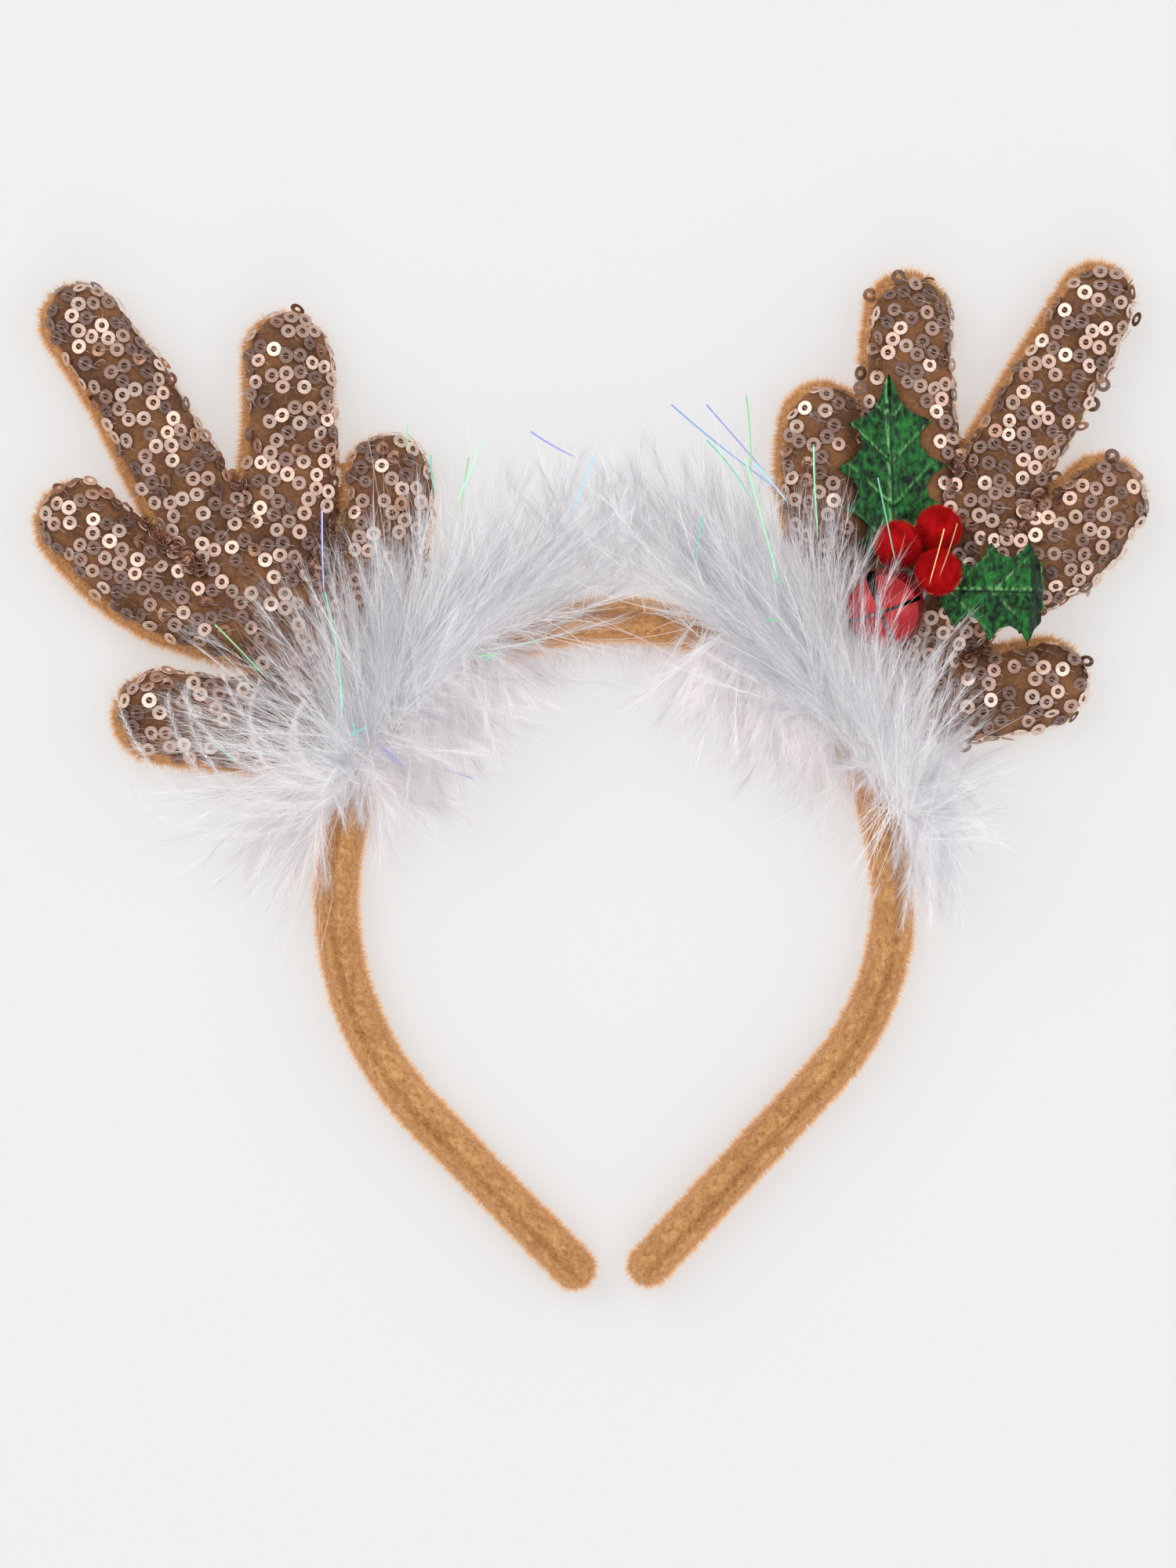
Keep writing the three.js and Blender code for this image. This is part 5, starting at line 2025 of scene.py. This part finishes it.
@dataclass
class JingleBell:
    """The hollow bell: two pressed halves with a rolled lip and crossed slots."""

    radius: float = 8.9 * MM
    wall: float = 0.45 * MM
    lip: float = 0.35 * MM
    lip_height: float = 4.6 * MM
    slot_inner: float = 0.6 * MM
    slot_outer: tuple[float, float, float, float] = (0.9 * MM, 2.2 * MM, 0.9 * MM, 1.2 * MM)
    slot_turn: float = 19.0
    tilt: float = 9.0
    tilt_toward: float = 225.0
    loop_radius: float = 1.9 * MM
    loop_wire: float = 0.5 * MM
    loop_gap: float = 0.6 * MM
    groove: float = 0.22 * MM
    edge_round: float = 0.12 * MM
    sides: int = 76

    def profile(self) -> np.ndarray:
        """Draws the shell from its top down the outside and up the inside, as radius and height pairs.

        Returns:
            Its points as radius and height, outside and then inside.
        """
        lie = np.radians(np.linspace(89.4, -89.4, 46))
        out = self.radius * np.stack([np.cos(lie), np.sin(lie)], -1)
        swell = self.lip * np.exp(-((out[:, 1] - self.lip_height) / (0.5 * MM)) ** 2)
        step = np.where(out[:, 1] < self.lip_height, -self.groove, 0.0)
        out = out * (1 + (swell + step) / self.radius)[:, None]
        inner = (self.radius - self.wall) * np.stack([np.cos(lie[::-1]), np.sin(lie[::-1])], -1)
        return np.vstack([out, inner])

    def build(self, lacquer: bpy.types.Material, steel: bpy.types.Material) -> int:
        """Builds the bell in place of its plain shell.

        Args:
            lacquer: The lacquer's material.
            steel: The pellet's material.

        Returns:
            How many triangles it took.
        """
        low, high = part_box("jingle_bell")
        middle = Vector(((low.x + high.x) / 2, (low.y + high.y) / 2, high.z - self.radius))
        shell = self.shell()
        toward = math.radians(self.tilt_toward)
        axle = Vector((-math.sin(toward), math.cos(toward), 0.0))
        shell.data.transform(Matrix.Translation(middle) @ Matrix.Rotation(math.radians(self.tilt), 4, axle))
        for piece in (shell, self.loop(middle).made("jingle_bell_loop")):
            dress(piece, lacquer, "jingle_bell")
        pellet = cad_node("bell_pellet")
        pellet.data.materials.clear()
        pellet.data.materials.append(steel)
        return len(shell.data.loop_triangles) or 2 * len(shell.data.polygons)

    def shell(self) -> bpy.types.Object:
        """Makes the slotted shell round the origin, with soft edges.

        Returns:
            The shell, which says of each corner how far in front it lies and whether it is inside.
        """
        profile = self.profile()
        turn = circle(self.sides)
        heights = np.repeat(profile[:, None, 1:], self.sides, 1)
        rings = np.concatenate([profile[:, None, :1] * turn, heights], -1)
        shell = Patch(rings.reshape(-1, 3), closed_grid(len(profile), self.sides)).made("jingle_bell_shell")
        cutter = self.slots()
        cut = shell.modifiers.new("slots", "BOOLEAN")
        cut.object = cutter
        cut.solver = "EXACT"
        rounded = shell.modifiers.new("rounded", "BEVEL")
        rounded.width = self.edge_round
        rounded.segments = 2
        rounded.limit_method = "ANGLE"
        rounded.angle_limit = math.radians(50)
        done = bpy.data.meshes.new_from_object(shell.evaluated_get(bpy.context.evaluated_depsgraph_get()))
        shell.modifiers.clear()
        shell.data = done
        bpy.data.objects.remove(cutter)
        corners = np.empty(3 * len(done.vertices))
        done.vertices.foreach_get("co", corners)
        corners = corners.reshape(-1, 3)
        within = np.linalg.norm(corners, axis=1) < self.radius - 0.8 * self.wall
        # The lacquer paints shade from these values: deep red low on the bell, near black inside
        for name, numbers in (("front", corners[:, 2] / self.radius), ("inside", within)):
            layer = done.attributes.new(name, "FLOAT", "POINT")
            layer.data.foreach_set("value", numbers.astype(np.float32))
        return shell

    def slots(self) -> bpy.types.Object:
        """Makes the cutter: four arms that widen outwards from the middle of the front.

        Returns:
            The cutter.
        """
        tool = bmesh.new()
        reach = 0.9 * self.radius
        outline: list[tuple[float, float]] = []
        for quarter in range(4):
            turn = math.pi / 2 * quarter + math.radians(self.slot_turn)
            wide = self.slot_outer[quarter]
            points = [(reach, -wide / 2), (reach + 0.35 * wide, -0.3 * wide), (reach + 0.45 * wide, 0.0),
                      (reach + 0.35 * wide, 0.3 * wide), (reach, wide / 2),
                      (self.slot_inner / 2, self.slot_inner / 2)]
            outline += [(x * math.cos(turn) - y * math.sin(turn), x * math.sin(turn) + y * math.cos(turn))
                        for x, y in points]
        face = tool.faces.new([tool.verts.new((x, y, 0.0)) for x, y in outline])
        grown = bmesh.ops.extrude_face_region(tool, geom=[face])
        for corner in (part for part in grown["geom"] if isinstance(part, bmesh.types.BMVert)):
            corner.co.z = 2 * self.radius
        bmesh.ops.recalc_face_normals(tool, faces=tool.faces)
        mesh = bpy.data.meshes.new("slot_cutter")
        tool.to_mesh(mesh)
        tool.free()
        cutter = bpy.data.objects.new("slot_cutter", mesh)
        bpy.context.scene.collection.objects.link(cutter)
        return cutter

    def loop(self, middle: Vector) -> Patch:
        """Makes the wire loop under the bell, by which it is sewn on.

        Args:
            middle: The middle of the bell.

        Returns:
            The loop.
        """
        steps, sides = 40, 10
        turn = circle(steps)
        ahead = np.stack([turn[:, 0], 0 * turn[:, 0], turn[:, 1]], -1)
        spot = np.array(middle) + UP * (self.loop_gap - self.radius - self.loop_radius)
        ring = self.loop_wire * circle(sides)
        corners = (spot + ahead * self.loop_radius)[:, None] + ahead[:, None] * ring[:, :1]
        corners = corners + np.array([0, 1.0, 0]) * ring[:, 1:]
        return Patch(corners.reshape(-1, 3), closed_grid(steps, sides)[:, ::-1])


# The stage

@dataclass(frozen=True)
class Lamp:
    """One soft square light: where it hangs in metres, how wide it is and its power in watts."""

    name: str
    place: Triple
    size: float
    power: float


@dataclass
class Studio:
    """The table, the soft lights and the camera straight above."""

    look_at: tuple[float, float] = (-0.65 * MM, -1.8 * MM)
    view_height: float = 340 * MM
    distance: float = 3.2
    sensor_height: float = 36.0
    table_reach: float = 3.0
    sky: Colour = (0.97, 0.98, 1.0)
    sky_strength: float = 0.53
    lamps: tuple[Lamp, ...] = (
        Lamp("key", (-0.65, 0.55, 0.95), 1.3, 6.4),
        Lamp("fill", (0.85, 0.15, 0.85), 1.2, 4.0),
        Lamp("low", (0.0, -0.95, 0.75), 1.1, 3.1),
    )

    def build(self, table: bpy.types.Material) -> None:
        """Sets the stage up.

        Args:
            table: The table's material.
        """
        corners = self.table_reach * np.array([[-1, -1, 0], [1, -1, 0], [1, 1, 0], [-1, 1, 0]])
        top = Patch(corners, np.array([[0, 1, 2, 3]])).made("table")
        top.data.materials.append(table)
        for lamp in self.lamps:
            self.light(lamp)
        world = bpy.data.worlds.new("studio")
        world.use_nodes = True
        background = world.node_tree.nodes["Background"]
        background.inputs["Color"].default_value = (*self.sky, 1.0)
        background.inputs["Strength"].default_value = self.sky_strength
        bpy.context.scene.world = world
        bpy.context.scene.view_settings.view_transform = "Standard"
        self.camera()

    @staticmethod
    def light(row: Lamp) -> None:
        """Hangs one lamp so that it faces the headband.

        Args:
            row: The lamp.
        """
        lamp = bpy.data.lights.new(row.name, "AREA")
        lamp.size = row.size
        lamp.energy = row.power
        hung = bpy.data.objects.new(row.name, lamp)
        hung.location = row.place
        hung.rotation_euler = Vector(row.place).to_track_quat("Z", "Y").to_euler()
        bpy.context.scene.collection.objects.link(hung)

    def camera(self) -> None:
        """Places the camera above the headband."""
        lens = bpy.data.cameras.new("camera")
        lens.sensor_fit = "VERTICAL"
        lens.sensor_height = self.sensor_height
        lens.lens = self.sensor_height * self.distance / self.view_height
        eye = bpy.data.objects.new("camera", lens)
        eye.location = (*self.look_at, self.distance)
        bpy.context.scene.collection.objects.link(eye)
        bpy.context.scene.camera = eye


def main() -> None:
    """Builds every sub-assembly in order."""
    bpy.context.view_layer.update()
    Studio().build(TableFinish().make())
    ground, fur = PlushFinish().make(), PileFinish().make()
    cloth, film, thread = SequinClothFinish().make(), SequinFinish().make(), ThreadFinish().make()
    LOG.info("band: %d triangles", PlushBand().build(ground, fur))
    antlers = StuffedAntler(Side.LEFT, (-0.75, -0.66), 21), StuffedAntler(Side.RIGHT, (-0.74, 0.67), 35)
    for antler in antlers:
        LOG.info("%s antler: %d triangles", antler.side.value, antler.build(cloth, ground, fur, film, thread))
    LOG.info("feather trim: %d triangles", FeatherTrim().build(DownFinish().make(), TinselFinish().make()))
    foil, felt = FoilLeafFinish().make(), FeltFinish().make()
    leaves = (HollyLeaf("holly_leaf_upright", 92),
              HollyLeaf("holly_leaf_folded", -1, bends=((0.0, 0.0), (0.5, 52.0), (0.61, 168.0))))
    for leaf in leaves:
        LOG.info("%s: %d triangles", leaf.node, leaf.build(foil))
    for seed, node in enumerate(("berry_lower", "berry_left", "berry_top")):
        LOG.info("%s: %d triangles", node, FeltBerry(node, 50 + seed).build(felt))
    LOG.info("bell: %d triangles", JingleBell().build(LacquerFinish().make(), SteelFinish().make()))


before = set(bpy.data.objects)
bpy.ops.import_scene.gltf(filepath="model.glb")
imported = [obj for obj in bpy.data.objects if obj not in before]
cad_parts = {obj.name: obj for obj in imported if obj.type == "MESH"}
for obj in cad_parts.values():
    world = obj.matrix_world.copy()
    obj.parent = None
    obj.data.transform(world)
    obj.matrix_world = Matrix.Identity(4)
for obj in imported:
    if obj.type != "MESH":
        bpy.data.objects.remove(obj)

if __name__ == "__main__":
    logging.basicConfig(level=logging.INFO)
    main()
